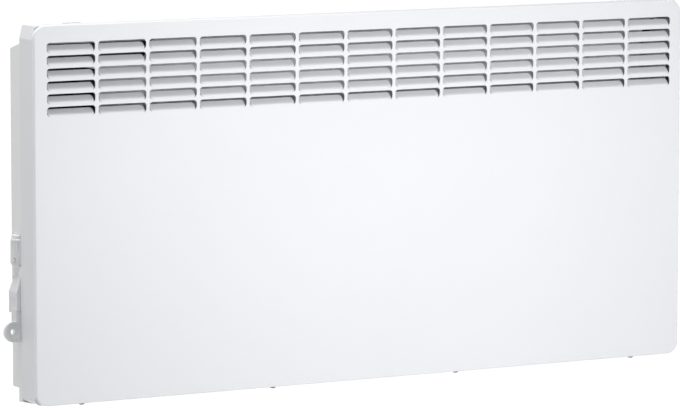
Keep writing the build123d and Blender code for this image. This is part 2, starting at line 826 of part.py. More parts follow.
# ------------------------------------------------------------------ wall lock
lock_front_y = front_y + lock_front
lock_back_y = front_y + lock_back
lock_x = side_x - lock_reach
spring_x = side_x - lock_reach + lock_wall + 2.4
spring_width = stem_x + stem_width - 1.5 - spring_x
with BuildPart() as lock_housing:
    # outside: a box with a ramp down to it
    with BuildSketch(Plane.XZ.offset(-lock_back_y)):
        with BuildLine():
            Polyline(
                (side_x, low_z + lock_low),
                (lock_x, low_z + lock_low),
                (lock_x, low_z + lock_shoulder),
                (side_x, low_z + lock_high),
                close=True,
            )
        make_face()
    extrude(amount=lock_back - lock_front)
    # the ramp narrows towards its top
    with BuildSketch(Plane.YZ.offset(lock_x)):
        with BuildLine():
            Polyline(
                (lock_back_y, low_z + lock_shoulder),
                (lock_back_y, low_z + lock_high + 1),
                (lock_back_y - lock_taper * 1.05, low_z + lock_high + 1),
                close=True,
            )
        make_face()
    extrude(amount=lock_reach, mode=Mode.SUBTRACT)
    # inside: the moulding that guides the slide
    with BuildSketch(Plane.YZ.offset(side_x)):
        with Locations(
            (front_y + (lock_front + lock_back) / 2, low_z + (lock_low + lock_high) / 2 + 1)
        ):
            Rectangle(lock_back - lock_front - 5, lock_high - lock_low - 7)
    extrude(amount=lock_pocket)
    # pocket, open below for the stem
    with BuildSketch(Plane.XY.offset(low_z + lock_low)):
        with Locations((stem_x + stem_width / 2, stem_y)):
            Rectangle(stem_width + 2 * pull_gap, stem_depth + 2 * pull_gap)
    extrude(amount=stem_top - lock_low + 1, mode=Mode.SUBTRACT)
    # the spring's room above it, kept clear of the ramp
    with BuildSketch(Plane.XY.offset(low_z + lock_low)):
        with Locations((spring_x + spring_width / 2, stem_y)):
            Rectangle(spring_width + 2 * pull_gap, stem_depth + 2 * pull_gap)
    extrude(amount=lock_high - lock_low - 10, mode=Mode.SUBTRACT)
    # way out to the back for the tongue
    with BuildSketch(Plane.XZ.offset(-lock_back_y)):
        with Locations((tongue_x, low_z + lock_low + 6)):
            Rectangle(tongue_width + 2 * pull_gap, 18)
    extrude(amount=lock_back_y - stem_y, mode=Mode.SUBTRACT)
    # shallow sunk panel in the box's face
    with BuildSketch(Plane.YZ.offset(lock_x)):
        with Locations((lock_front_y + 10.5, low_z + 117.5)):
            Rectangle(16.0, 13.0)
    extrude(amount=lock_inset, mode=Mode.SUBTRACT)
lock_housing.part.label = "lock_housing"
export_step(lock_housing.part, "parts/lock_housing.step")

pull_inner_x = side_x - pull_gap
eye_x = side_x - eye_reach
with BuildPart() as lock_pull:
    # collar under the housing
    collar_top = low_z + lock_low - pull_gap
    with BuildSketch(Plane.XY.offset(collar_top)):
        with Locations(((lock_x + pull_inner_x) / 2, (lock_front_y + lock_back_y) / 2)):
            Rectangle(pull_inner_x - lock_x, lock_back - lock_front)
    extrude(amount=-collar_height)
    # neck with rounded outer corners
    with BuildSketch(Plane.XY.offset(collar_top)):
        with Locations(
            ((side_x - neck_reach + pull_inner_x) / 2, lock_front_y + neck_depth / 2)
        ):
            neck_outline = Rectangle(neck_reach - pull_gap, neck_depth)
            fillet(neck_outline.vertices().group_by(Axis.X)[0], radius=2.5)
    extrude(amount=-(collar_top - low_z - neck_low + 2))
    # flat lug with a round end, dished round its hole
    with BuildSketch(Plane.XZ.offset(-(lock_front_y + eye_sheet))):
        with Locations((eye_x, low_z + eye_height)):
            Circle(eye_radius)
        with Locations(((eye_x + pull_inner_x) / 2, low_z + eye_height)):
            Rectangle(pull_inner_x - eye_x, 2 * eye_radius)
        with Locations((pull_inner_x + eye_radius / 2, low_z + eye_height)):
            Rectangle(eye_radius, 3 * eye_radius, mode=Mode.SUBTRACT)
    extrude(amount=eye_sheet)
    with Locations(Plane(origin=(eye_x, lock_front_y, low_z + eye_height), z_dir=(0, -1, 0))):
        CounterSinkHole(radius=eye_hole, counter_sink_radius=eye_dish, depth=eye_sheet, counter_sink_angle=140)
    # stem up into the housing
    with BuildSketch(Plane.XY.offset(collar_top)):
        with Locations((stem_x + stem_width / 2, stem_y)):
            Rectangle(stem_width, stem_depth)
    extrude(amount=low_z + stem_top - collar_top)
    # tongue back to the keeper, with its tip turned up
    add(
        drawn_sheet(
            [
                (stem_y, tongue_z),
                (keeper_y + rail_sheet + 2.6, tongue_z),
                (keeper_y + rail_sheet + 2.6, tip_high),
                (keeper_y + rail_sheet + 0.8, tip_high),
                (keeper_y + rail_sheet + 0.8, tongue_z + tongue_sheet),
                (stem_y, tongue_z + tongue_sheet),
            ],
            Plane.YZ.offset(tongue_x - tongue_width / 2),
            tongue_width,
        )
    )
lock_pull.part.label = "lock_pull"
export_step(lock_pull.part, "parts/lock_pull.step")

# folded strip spring between the stem's top and the roof of the pocket
spring_strip = 0.6
spring_folds = 4
spring_low = low_z + stem_top + 0.1 + spring_strip
spring_high = low_z + lock_high - 10 - 0.1 - spring_strip
fold_rise = (spring_high - spring_low) / spring_folds
with BuildPart() as lock_spring:
    with BuildSketch(Plane.YZ.offset(spring_x)):
        with BuildLine():
            FilletPolyline(
                *[
                    (stem_y + (3 if fold % 2 else -3), spring_low + fold * fold_rise)
                    for fold in range(spring_folds + 1)
                ],
                radius=0.8,
            )
        trace(line_width=spring_strip)
    extrude(amount=spring_width)
lock_spring.part.label = "lock_spring"
export_step(lock_spring.part, "parts/lock_spring.step")

# ---------------------------------------------------------- heating chamber
element_y = front_y + element_depth
element_z = low_z + element_height
with BuildPart() as partition:
    add(
        drawn_sheet(
            [
                (partition_x, front_y + front_shield_depth),
                (partition_x + partition_sheet, front_y + front_shield_depth),
                (partition_x + partition_sheet, inside_back_y),
                (partition_x - shield_foot, inside_back_y),
                (partition_x - shield_foot, inside_back_y - partition_sheet),
                (partition_x, inside_back_y - partition_sheet),
            ],
            Plane.XY.offset(low_z + shield_low),
            shield_high - shield_low,
        )
    )
    with BuildSketch(Plane.YZ.offset(partition_x)):
        with Locations((element_y, element_z)):
            Circle(bush_radius + bush_fit)
        with Locations((element_y, low_z + cutout_height)):
            Circle(cutout_radius - 2)
    extrude(amount=partition_sheet, mode=Mode.SUBTRACT)
    with BuildSketch(Plane.XZ.offset(-inside_back_y)):
        for place in partition_screws:
            with Locations(place):
                Circle(screw_shank + screw_fit)
    extrude(amount=partition_sheet, mode=Mode.SUBTRACT)
partition.part.label = "partition"
export_step(partition.part, "parts/partition.step")

# heat shield: a hat section between the chamber and the tray's back
shield_y = front_y + shield_depth
with BuildPart() as heat_shield:
    add(
        drawn_sheet(
            [
                (shield_left, inside_back_y),
                (shield_left, inside_back_y - shield_skin),
                (shield_left + shield_foot, inside_back_y - shield_skin),
                (shield_left + shield_foot, shield_y),
                (shield_right - shield_foot, shield_y),
                (shield_right - shield_foot, inside_back_y - shield_skin),
                (shield_right, inside_back_y - shield_skin),
                (shield_right, inside_back_y),
                (shield_right - shield_foot - shield_skin, inside_back_y),
                (shield_right - shield_foot - shield_skin, shield_y + shield_skin),
                (shield_left + shield_foot + shield_skin, shield_y + shield_skin),
                (shield_left + shield_foot + shield_skin, inside_back_y),
            ],
            Plane.XY.offset(low_z + shield_low),
            shield_high - shield_low,
        )
    )
    with BuildSketch(Plane.XZ.offset(-inside_back_y)):
        for place in shield_screws:
            with Locations(place):
                Circle(screw_shank + screw_fit)
    extrude(amount=shield_skin, mode=Mode.SUBTRACT)
    # slot for lifting the sheet out, high on the right
    with BuildSketch(Plane.XZ.offset(-(shield_y + shield_skin))):
        with Locations((shield_slot_place, low_z + shield_slot_high)):
            Rectangle(shield_slot_width, shield_slot_height)
    extrude(amount=shield_skin + guide_fit, mode=Mode.SUBTRACT)
heat_shield.part.label = "heat_shield"
export_step(heat_shield.part, "parts/heat_shield.step")

# air guide: leans forward over the chamber and turns the rising air to the louvres
guide_y = shield_y - shield_skin / 2
guide_left = left_x + guide_from_side
with BuildPart() as air_guide:
    with BuildSketch(Plane.YZ.offset(guide_left)):
        with BuildLine():
            FilletPolyline(
                (guide_y, low_z + shield_high - guide_lap),
                (guide_y, low_z + shield_high),
                (front_y + guide_knee_depth, low_z + guide_knee_high),
                (front_y + guide_front, low_z + guide_high),
                radius=[12, 30],
            )
        trace(line_width=shield_skin)
    extrude(amount=shield_right - shield_foot - guide_left)
air_guide.part.label = "air_guide"
export_step(air_guide.part, "parts/air_guide.step")

# front shield: keeps the panel cool in front of the element
front_shield_y = front_y + front_shield_depth
chamber_left = partition_x + partition_sheet
with BuildPart() as front_shield:
    add(
        drawn_sheet(
            [
                (chamber_left, front_shield_y + shield_foot),
                (chamber_left, front_shield_y),
                (chamber_x, front_shield_y),
                (chamber_x, front_shield_y + shield_foot),
                (chamber_x - shield_skin, front_shield_y + shield_foot),
                (chamber_x - shield_skin, front_shield_y + shield_skin),
                (chamber_left + shield_skin, front_shield_y + shield_skin),
                (chamber_left + shield_skin, front_shield_y + shield_foot),
            ],
            Plane.XY.offset(low_z + shield_low),
            front_shield_high - shield_low,
        )
    )
front_shield.part.label = "front_shield"
export_step(front_shield.part, "parts/front_shield.step")

# end plate: the chamber's right end, the partition's mirror image without the cutout
with BuildPart() as end_plate:
    add(
        drawn_sheet(
            [
                (chamber_x, front_shield_y),
                (chamber_x + partition_sheet, front_shield_y),
                (chamber_x + partition_sheet, inside_back_y - partition_sheet),
                (chamber_x + partition_sheet + shield_foot, inside_back_y - partition_sheet),
                (chamber_x + partition_sheet + shield_foot, inside_back_y),
                (chamber_x, inside_back_y),
            ],
            Plane.XY.offset(low_z + shield_low),
            shield_high - shield_low,
        )
    )
    with BuildSketch(Plane.YZ.offset(chamber_x)):
        with Locations((element_y, element_z)):
            Circle(bush_radius + bush_fit)
    extrude(amount=partition_sheet, mode=Mode.SUBTRACT)
    with BuildSketch(Plane.XZ.offset(-inside_back_y)):
        for place in end_screws:
            with Locations(place):
                Circle(screw_shank + screw_fit)
    extrude(amount=partition_sheet, mode=Mode.SUBTRACT)
end_plate.part.label = "end_plate"
export_step(end_plate.part, "parts/end_plate.step")

# ceramic bushes, one in the partition and one in the end plate
bush_flange_sheet = 3.0
with BuildPart() as ceramic_bushes:
    for outer, turn in ((partition_x, -1), (chamber_x + partition_sheet, 1)):
        with BuildSketch(Plane.YZ.offset(outer)):
            with Locations((element_y, element_z)):
                Circle(bush_flange)
        extrude(amount=bush_flange_sheet * turn)
        with BuildSketch(Plane.YZ.offset(outer)):
            with Locations((element_y, element_z)):
                Circle(bush_radius)
        extrude(amount=-(bush_length - bush_flange_sheet) * turn)
    with BuildSketch(Plane.YZ.offset(left_x)):
        with Locations((element_y, element_z)):
            Circle(rod_radius + rod_fit)
    extrude(amount=width, mode=Mode.SUBTRACT)
ceramic_bushes.part.label = "ceramic_bushes"
export_step(ceramic_bushes.part, "parts/ceramic_bushes.step")

rod_start = partition_x - rod_tail
rod_end = chamber_x + partition_sheet + bush_flange_sheet + 2
with BuildPart() as heating_rod:
    with BuildSketch(Plane.YZ.offset(rod_start)):
        with Locations((element_y, element_z)):
            Circle(rod_radius)
    extrude(amount=rod_end - rod_start)
    # two terminal studs, one above the other
    with BuildSketch(Plane.YZ.offset(rod_start)):
        with Locations((element_y, element_z)):
            with GridLocations(1, 2 * stud_offset, 1, 2):
                Circle(stud_radius)
    extrude(amount=-stud_length)
heating_rod.part.label = "heating_rod"
export_step(heating_rod.part, "parts/heating_rod.step")

# element: an aluminium extrusion with four arms and cross ribs round the rod
element_start = partition_x + partition_sheet + element_gap
element_end = chamber_x - element_gap
with BuildPart() as element_fins:
    with BuildSketch(Plane.YZ.offset(element_start)):
        with Locations((element_y, element_z)):
            Circle(element_hub)
            for turn in (element_angle, 180 - element_angle, 180 + element_angle, -element_angle):
                with Locations(Location((0, 0, 0), (0, 0, turn))):
                    with Locations((element_arm / 2, 0)):
                        Rectangle(element_arm, element_arm_sheet)
                    for share in (0.5, 0.72, 0.94):
                        with Locations((element_arm * share, 0)):
                            Rectangle(element_arm_sheet * 0.8, element_rib * (1.4 - share / 2))
            Circle(rod_radius + rod_fit, mode=Mode.SUBTRACT)
    extrude(amount=element_end - element_start)
element_fins.part.label = "element_fins"
export_step(element_fins.part, "parts/element_fins.step")

# ------------------------------------------------------------ electrics bay
with BuildPart() as overheat_cutout:
    with BuildSketch(Plane.YZ.offset(partition_x)):
        with Locations((element_y, low_z + cutout_height)):
            Circle(cutout_radius)
    extrude(amount=-cutout_body)
    with BuildSketch(Plane.YZ.offset(partition_x - cutout_body)):
        with Locations((element_y, low_z + cutout_height)):
            with GridLocations(1, cutout_spacing, 1, 2):
                Rectangle(terminal_width, terminal_sheet)
    extrude(amount=-terminal_length)
overheat_cutout.part.label = "overheat_cutout"
export_step(overheat_cutout.part, "parts/overheat_cutout.step")

block_front_y = inside_back_y - block_depth
with BuildPart() as terminal_block:
    with BuildSketch(Plane.XZ.offset(-inside_back_y)):
        with Locations((block_x, block_mid_z)):
            Rectangle(block_length, block_height)
    extrude(amount=block_depth)
    with BuildSketch(Plane.XZ.offset(-block_front_y)):
        with Locations((block_x, block_mid_z)):
            with GridLocations(block_pitch, 1, 3, 1):
                Circle(block_well)
    extrude(amount=-block_well_depth, mode=Mode.SUBTRACT)
    with BuildSketch(Plane.XZ.offset(-inside_back_y)):
        for place in block_screws:
            with Locations(place):
                Circle(screw_shank + screw_fit)
    extrude(amount=back_screw_length, mode=Mode.SUBTRACT)
terminal_block.part.label = "terminal_block"
export_step(terminal_block.part, "parts/terminal_block.step")

with BuildPart() as cord_gland:
    with BuildSketch(Plane.XZ.offset(-rear_back_y)):
        with Locations((gland_x, gland_z)):
            Circle(gland_flange)
    extrude(amount=-3)
    with BuildSketch(Plane.XZ.offset(-rear_back_y)):
        with Locations((gland_x, gland_z)):
            Circle(gland_radius)
    extrude(amount=9)
    with BuildSketch(Plane.XZ.offset(-(rear_back_y + 3))):
        with Locations((gland_x, gland_z)):
            Circle(gland_bore)
    extrude(amount=12, mode=Mode.SUBTRACT)
cord_gland.part.label = "cord_gland"
export_step(cord_gland.part, "parts/cord_gland.step")

# Wires of the bay, each from one terminal to the next.
block_top = block_mid_z + block_height / 2
wire_y = inside_back_y - block_depth / 2
blade_top = thermostat_z + thermostat_height + terminal_length
cutout_z = low_z + cutout_height
cutout_x = partition_x - cutout_body - terminal_length
stud_x = rod_start - stud_length
with BuildPart() as live_wire:
    add(
        laid_wire(
            [
                (block_x + block_pitch, wire_y, block_top),
                (block_x + block_pitch, wire_y, blade_top + wire_loop),
                (thermostat_mid_x + terminal_spacing / 2, dial_y, blade_top + wire_loop),
                (thermostat_mid_x + terminal_spacing / 2, dial_y, blade_top),
            ],
            [9, 7],
            wire_radius,
        )
    )
live_wire.part.label = "live_wire"
export_step(live_wire.part, "parts/live_wire.step")

with BuildPart() as switched_wire:
    add(
        laid_wire(
            [
                (thermostat_mid_x - terminal_spacing / 2, dial_y, blade_top),
                (thermostat_mid_x - terminal_spacing / 2, dial_y, blade_top + wire_loop + 10),
                (cutout_x - wire_side, element_y, blade_top + wire_loop + 10),
                (cutout_x - wire_side, element_y, cutout_z + cutout_spacing / 2),
                (cutout_x, element_y, cutout_z + cutout_spacing / 2),
            ],
            [10, 12, 10],
            wire_radius,
        )
    )
switched_wire.part.label = "switched_wire"
export_step(switched_wire.part, "parts/switched_wire.step")

with BuildPart() as heater_wire:
    add(
        laid_wire(
            [
                (cutout_x, element_y, cutout_z - cutout_spacing / 2),
                (cutout_x - wire_side, element_y, cutout_z - cutout_spacing / 2),
                (cutout_x - wire_side, element_y, element_z + stud_offset),
                (stud_x, element_y, element_z + stud_offset),
            ],
            [10, 5],
            wire_radius,
        )
    )
heater_wire.part.label = "heater_wire"
export_step(heater_wire.part, "parts/heater_wire.step")

with BuildPart() as neutral_wire:
    add(
        laid_wire(
            [
                (block_x - block_pitch, wire_y, block_top),
                (block_x - block_pitch, wire_y, block_top + wire_side),
                (block_x - block_pitch, element_y, block_top + wire_side),
                (block_x - block_pitch, element_y, element_z - stud_offset),
                (stud_x, element_y, element_z - stud_offset),
            ],
            [7, 7, 6],
            wire_radius,
        )
    )
neutral_wire.part.label = "neutral_wire"
export_step(neutral_wire.part, "parts/neutral_wire.step")
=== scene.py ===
import math

import bmesh
import bpy
from mathutils import Matrix, Vector


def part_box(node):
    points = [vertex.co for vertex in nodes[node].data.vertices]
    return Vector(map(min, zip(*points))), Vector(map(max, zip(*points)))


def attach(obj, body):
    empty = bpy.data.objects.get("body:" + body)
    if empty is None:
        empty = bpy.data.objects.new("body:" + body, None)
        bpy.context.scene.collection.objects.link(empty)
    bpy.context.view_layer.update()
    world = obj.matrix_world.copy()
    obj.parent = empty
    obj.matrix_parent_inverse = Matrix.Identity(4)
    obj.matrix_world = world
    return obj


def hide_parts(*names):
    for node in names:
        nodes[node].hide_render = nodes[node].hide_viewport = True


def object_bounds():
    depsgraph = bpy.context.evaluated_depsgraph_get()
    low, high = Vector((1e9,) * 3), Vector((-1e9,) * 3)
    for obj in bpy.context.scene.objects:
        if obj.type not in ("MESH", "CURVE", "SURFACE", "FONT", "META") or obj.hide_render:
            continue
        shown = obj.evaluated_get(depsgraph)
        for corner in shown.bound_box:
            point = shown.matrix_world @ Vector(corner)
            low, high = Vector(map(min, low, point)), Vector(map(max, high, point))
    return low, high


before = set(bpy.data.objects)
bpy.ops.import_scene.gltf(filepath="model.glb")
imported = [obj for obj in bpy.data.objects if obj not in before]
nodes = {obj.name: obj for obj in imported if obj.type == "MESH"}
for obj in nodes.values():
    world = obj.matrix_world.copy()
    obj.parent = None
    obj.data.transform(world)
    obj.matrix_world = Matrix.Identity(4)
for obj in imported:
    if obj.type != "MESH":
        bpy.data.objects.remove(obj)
cadLow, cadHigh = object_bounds()
mm = 0.001
print("frame loaded:", len(nodes), "solids' nodes")

# what the whole heater shares, in metres
heater = {
    "width": 0.894,
    "height": 0.450,
    "panelFace": -0.078,      # Y of the panel's face
    "bottom": -0.210,         # Z of the panel's lower edge
    "paleFrom": 0.43,         # inner faces right of this X stay pale
    "plate": 2.0 * mm,        # a piece thinner than this in Y is a flat plate
    "near": 0.05 * mm,        # how close a CAD point lies to the line it is looked for on
}
weld = {"cad": 2e-6, "cells": 1e-5, "figures": 1e-7}    # points this close become one, in metres
panelTop = heater["bottom"] + heater["height"]
panelMiddle = heater["bottom"] + heater["height"] / 2


# ---- materials

def startMaterial(name):
    material = bpy.data.materials.new(name)
    material.use_nodes = True
    tree = material.node_tree
    shader = tree.nodes["Principled BSDF"]
    place = tree.nodes.new("ShaderNodeTexCoord")
    return material, tree, shader, place.outputs["Object"]


def noiseOn(tree, place, scale, detail=2.0, roughness=0.5, stretch=None):
    noise = tree.nodes.new("ShaderNodeTexNoise")
    noise.inputs["Scale"].default_value = scale
    noise.inputs["Detail"].default_value = detail
    noise.inputs["Roughness"].default_value = roughness
    if stretch:
        mapping = tree.nodes.new("ShaderNodeMapping")
        mapping.inputs["Scale"].default_value = stretch
        tree.links.new(place, mapping.inputs["Vector"])
        tree.links.new(mapping.outputs["Vector"], noise.inputs["Vector"])
    else:
        tree.links.new(place, noise.inputs["Vector"])
    return noise.outputs["Fac"]


def rampOn(tree, value, low, high, colourLow, colourHigh):
    ramp = tree.nodes.new("ShaderNodeValToRGB")
    ramp.color_ramp.elements[0].position = low
    ramp.color_ramp.elements[1].position = high
    ramp.color_ramp.elements[0].color = (*colourLow, 1)
    ramp.color_ramp.elements[1].color = (*colourHigh, 1)
    tree.links.new(value, ramp.inputs["Fac"])
    return ramp.outputs["Color"]


def rangeOn(tree, value, low, high):
    spread = tree.nodes.new("ShaderNodeMapRange")
    spread.inputs["To Min"].default_value = low
    spread.inputs["To Max"].default_value = high
    tree.links.new(value, spread.inputs["Value"])
    return spread.outputs["Result"]


def bumpOn(tree, shader, height, strength, distance, under=None):
    bump = tree.nodes.new("ShaderNodeBump")
    bump.inputs["Strength"].default_value = strength
    bump.inputs["Distance"].default_value = distance
    tree.links.new(height, bump.inputs["Height"])
    if under is not None:
        tree.links.new(under, bump.inputs["Normal"])
    tree.links.new(bump.outputs["Normal"], shader.inputs["Normal"])
    return bump.outputs["Normal"]


def shade(colour, factor):
    return tuple(min(1.0, part * factor) for part in colour)


def powderCoat(name, colour, roughness=0.42, peel=420.0, coat=0.12):
    # baked powder paint: orange peel about 2 mm across, over a finer grain
    material, tree, shader, place = startMaterial(name)
    tone = rampOn(tree, noiseOn(tree, place, 6.0, 3.0), 0.3, 0.7, shade(colour, 0.985), colour)
    tree.links.new(tone, shader.inputs["Base Color"])
    fine = noiseOn(tree, place, peel * 2.6, 2.0, 0.6)
    gloss = rangeOn(tree, fine, roughness - 0.05, roughness + 0.06)
    tree.links.new(gloss, shader.inputs["Roughness"])
    waves = bumpOn(tree, shader, noiseOn(tree, place, peel, 1.0, 0.4), 0.10, 0.0004)
    bumpOn(tree, shader, fine, 0.06, 0.0002, waves)
    shader.inputs["IOR"].default_value = 1.5
    shader.inputs["Coat Weight"].default_value = coat
    shader.inputs["Coat Roughness"].default_value = 0.3
    return material


def mouldedPlastic(name, colour, roughness=0.4, grain=1500.0, grainDepth=0.12):
    # injection moulded: a fine spark-eroded grain and faint flow marks
    material, tree, shader, place = startMaterial(name)
    flow = noiseOn(tree, place, 30.0, 3.0, 0.6, (1.0, 1.0, 0.35))
    tone = rampOn(tree, flow, 0.3, 0.72, shade(colour, 0.965), colour)
    tree.links.new(tone, shader.inputs["Base Color"])
    fine = noiseOn(tree, place, grain, 2.0, 0.55)
    gloss = rangeOn(tree, fine, roughness - 0.06, roughness + 0.08)
    tree.links.new(gloss, shader.inputs["Roughness"])
    bumpOn(tree, shader, fine, grainDepth, 0.0002)
    shader.inputs["IOR"].default_value = 1.49
    return material


def coatedSheet(name, colour, metallic=0.75, roughness=0.42):
    # zinc coated sheet: angular spangles that differ a little in tone and gloss
    material, tree, shader, place = startMaterial(name)
    spangle = tree.nodes.new("ShaderNodeTexVoronoi")
    spangle.inputs["Scale"].default_value = 130.0
    tree.links.new(place, spangle.inputs["Vector"])
    apart = tree.nodes.new("ShaderNodeSeparateColor")
    tree.links.new(spangle.outputs["Color"], apart.inputs["Color"])
    tone = rampOn(tree, apart.outputs["Red"], 0.0, 1.0, shade(colour, 0.9), shade(colour, 1.06))
    tree.links.new(tone, shader.inputs["Base Color"])
    gloss = rangeOn(tree, apart.outputs["Green"], roughness - 0.08, roughness + 0.1)
    tree.links.new(gloss, shader.inputs["Roughness"])
    bumpOn(tree, shader, noiseOn(tree, place, 300.0, 3.0), 0.05, 0.0002)
    shader.inputs["Metallic"].default_value = metallic
    return material


def turnedMetal(name, colour, roughness=0.34, stretch=(400, 400, 400), metallic=1.0):
    # drawn or turned metal: fine lines and small tarnish patches
    material, tree, shader, place = startMaterial(name)
    lines = noiseOn(tree, place, 1.0, 3.0, 0.6, stretch)
    tone = rampOn(tree, noiseOn(tree, place, 90.0, 3.0), 0.35, 0.7, shade(colour, 0.86), colour)
    tree.links.new(tone, shader.inputs["Base Color"])
    gloss = rangeOn(tree, lines, roughness - 0.08, roughness + 0.12)
    tree.links.new(gloss, shader.inputs["Roughness"])
    bumpOn(tree, shader, lines, 0.12, 0.0002)
    shader.inputs["Metallic"].default_value = metallic
    return material


def dullBoard(name, colour):
    # pressed insulating board: short fibres and a chalky face
    material, tree, shader, place = startMaterial(name)
    fibres = noiseOn(tree, place, 1.0, 4.0, 0.7, (300.0, 300.0, 1400.0))
    tone = rampOn(tree, fibres, 0.3, 0.75, shade(colour, 0.7), shade(colour, 1.3))
    tree.links.new(tone, shader.inputs["Base Color"])
    bumpOn(tree, shader, fibres, 0.3, 0.0003)
    shader.inputs["Roughness"].default_value = 0.9
    return material


def bakedCeramic(name, colour):
    material, tree, shader, place = startMaterial(name)
    specks = noiseOn(tree, place, 700.0, 4.0, 0.7)
    tone = rampOn(tree, specks, 0.3, 0.6, shade(colour, 0.84), colour)
    tree.links.new(tone, shader.inputs["Base Color"])
    bumpOn(tree, shader, specks, 0.18, 0.0002)
    shader.inputs["Roughness"].default_value = 0.62
    return material


finishKinds = {
    # name: (kind, colour, what differs from the kind's usual values)
    "panelWhite": (powderCoat, (0.83, 0.84, 0.86), {}),
    "casingWhite": (powderCoat, (0.775, 0.785, 0.805), {}),
    "bandWhite": (powderCoat, (0.82, 0.83, 0.83), {}),
    # painted shade: near-black paint for the inner faces, standing in for the dark inside the
    # hollow
    "primerDark": (powderCoat, (0.045, 0.046, 0.05), dict(roughness=0.6, peel=500.0, coat=0.0)),
    "plasticWhite": (mouldedPlastic, (0.78, 0.79, 0.80), {}),
    "plasticCream": (mouldedPlastic, (0.62, 0.58, 0.47), dict(roughness=0.45)),
    "plasticBlack": (mouldedPlastic, (0.025, 0.025, 0.027), dict(roughness=0.42)),
    "numberGrey": (mouldedPlastic, (0.40, 0.405, 0.42), dict(roughness=0.5)),
    "screwDark": (turnedMetal, (0.035, 0.035, 0.038), dict(roughness=0.42, metallic=0.6)),
    "zincPlate": (coatedSheet, (0.62, 0.63, 0.64), dict(metallic=0.85, roughness=0.38)),
    "galvanisedSheet": (coatedSheet, (0.66, 0.67, 0.685), dict(metallic=0.25, roughness=0.5)),
    "insulatingBoard": (dullBoard, (0.045, 0.045, 0.047), {}),
    "springSteel": (turnedMetal, (0.42, 0.42, 0.43), dict(roughness=0.28)),
    "copperBulb": (turnedMetal, (0.72, 0.36, 0.22), dict(roughness=0.33, stretch=(900, 200, 200))),
    "bushCeramic": (bakedCeramic, (0.78, 0.75, 0.69), {}),
    "rodSteel": (turnedMetal, (0.33, 0.32, 0.31), dict(roughness=0.42, stretch=(60, 900, 900))),
    "finAluminium": (turnedMetal, (0.70, 0.71, 0.72), dict(roughness=0.36, stretch=(30, 700, 700))),
    "wireBrown": (mouldedPlastic, (0.11, 0.045, 0.022), dict(grain=1200.0, grainDepth=0.05)),
    "wireBlue": (mouldedPlastic, (0.03, 0.10, 0.36), dict(grain=1200.0, grainDepth=0.05)),
}
finishes = {name: kind(name, colour, **more) for name, (kind, colour, more) in finishKinds.items()}
print("materials:", len(finishes))


# ---- helpers for meshes

def newPiece(name, build, material, smooth=None):
    build.normal_update()
    mesh = bpy.data.meshes.new(name)
    build.to_mesh(mesh)
    build.free()
    piece = bpy.data.objects.new(name, mesh)
    bpy.context.scene.collection.objects.link(piece)
    if material:
        mesh.materials.append(finishes[material])
    if smooth is not None:
        mesh.shade_smooth()
        mesh.set_sharp_from_angle(angle=math.radians(smooth))
    return piece


def settle(piece, *helpers):
    # turns what the modifiers show into a plain mesh and takes them off
    bpy.context.view_layer.update()
    shown = piece.evaluated_get(bpy.context.evaluated_depsgraph_get())
    mesh = bpy.data.meshes.new_from_object(shown)
    piece.modifiers.clear()
    old = piece.data
    piece.data = mesh
    bpy.data.meshes.remove(old)
    for helper in helpers:
        bpy.data.objects.remove(helper)
    return piece


def evenNormals(piece):
    weigh = piece.modifiers.new("even normals", "WEIGHTED_NORMAL")
    weigh.mode = "FACE_AREA"
    weigh.weight = 80
    weigh.keep_sharp = True


def softEdges(piece, width, steps=2, angle=40):
    bevel = piece.modifiers.new("soft edges", "BEVEL")
    bevel.width = width
    bevel.segments = steps
    bevel.limit_method = "ANGLE"
    bevel.angle_limit = math.radians(angle)
    bevel.harden_normals = False
    bevel.use_clamp_overlap = True
    piece.data.shade_smooth()
    evenNormals(piece)


def finerCopy(node, name, material, edge=0.0, smooth=34, reshape=None):
    # a merged copy of a CAD node, with smooth curves and eased edges
    source = nodes[node].data
    build = bmesh.new()
    build.from_mesh(source)
    bmesh.ops.remove_doubles(build, verts=build.verts, dist=weld["cad"])
    flatWithin = math.radians(0.5)
    bmesh.ops.dissolve_limit(build, angle_limit=flatWithin, verts=build.verts, edges=build.edges)
    for face in build.faces:
        face.material_index = 0
    if reshape:
        reshape(build)
    piece = newPiece(name, build, material, smooth)
    if edge:
        softEdges(piece, edge)
    else:
        evenNormals(piece)
    return settle(piece)


def paintInside(piece, finish):
    # faces that look in at the heater's hollow get the second finish, a near-black painted shade
    # for the dark hollow seen through the louvre gaps; those at the right end stay pale, since the
    # last column's gaps show them grey
    piece.data.materials.append(finishes[finish])
    corners = [Vector(corner) for corner in piece.bound_box]
    middle = sum(corners, Vector()) / 8
    isPlate = corners[6].y - corners[0].y < heater["plate"]
    for face in piece.data.polygons:
        if face.center.x > heater["paleFrom"]:
            continue
        normal, out = face.normal, face.center - middle
        facesDepth = abs(normal.y) > 0.7
        if facesDepth and isPlate:
            inward = normal.y < 0
        elif facesDepth:
            inward = out.y * normal.y < 0
        elif abs(normal.x) > abs(normal.z):
            inward = out.x * normal.x < 0
        else:
            inward = out.z * normal.z < 0
        if inward:
            face.material_index = 1


# ---- helpers for Geometry Nodes

def startTree(name, sizes):
    tree = bpy.data.node_groups.new(name, "GeometryNodeTree")
    tree.interface.new_socket(name="Geometry", in_out="INPUT", socket_type="NodeSocketGeometry")
    kinds = {float: "Float", int: "Int", tuple: "Vector"}
    kinds |= {bpy.types.Object: "Object", bpy.types.Material: "Material"}
    for label, value in sizes.items():
        kind = kinds[type(value)]
        tree.interface.new_socket(name=label, in_out="INPUT", socket_type="NodeSocket" + kind)
    tree.interface.new_socket(name="Geometry", in_out="OUTPUT", socket_type="NodeSocketGeometry")
    return tree, tree.nodes.new("NodeGroupInput"), tree.nodes.new("NodeGroupOutput")


def useTree(piece, tree, sizes):
    modifier = piece.modifiers.new(tree.name, "NODES")
    modifier.node_group = tree
    sockets = {s.name: s.identifier for s in tree.interface.items_tree if s.in_out == "INPUT"}
    for label, value in sizes.items():
        modifier[sockets[label]] = value
    return modifier


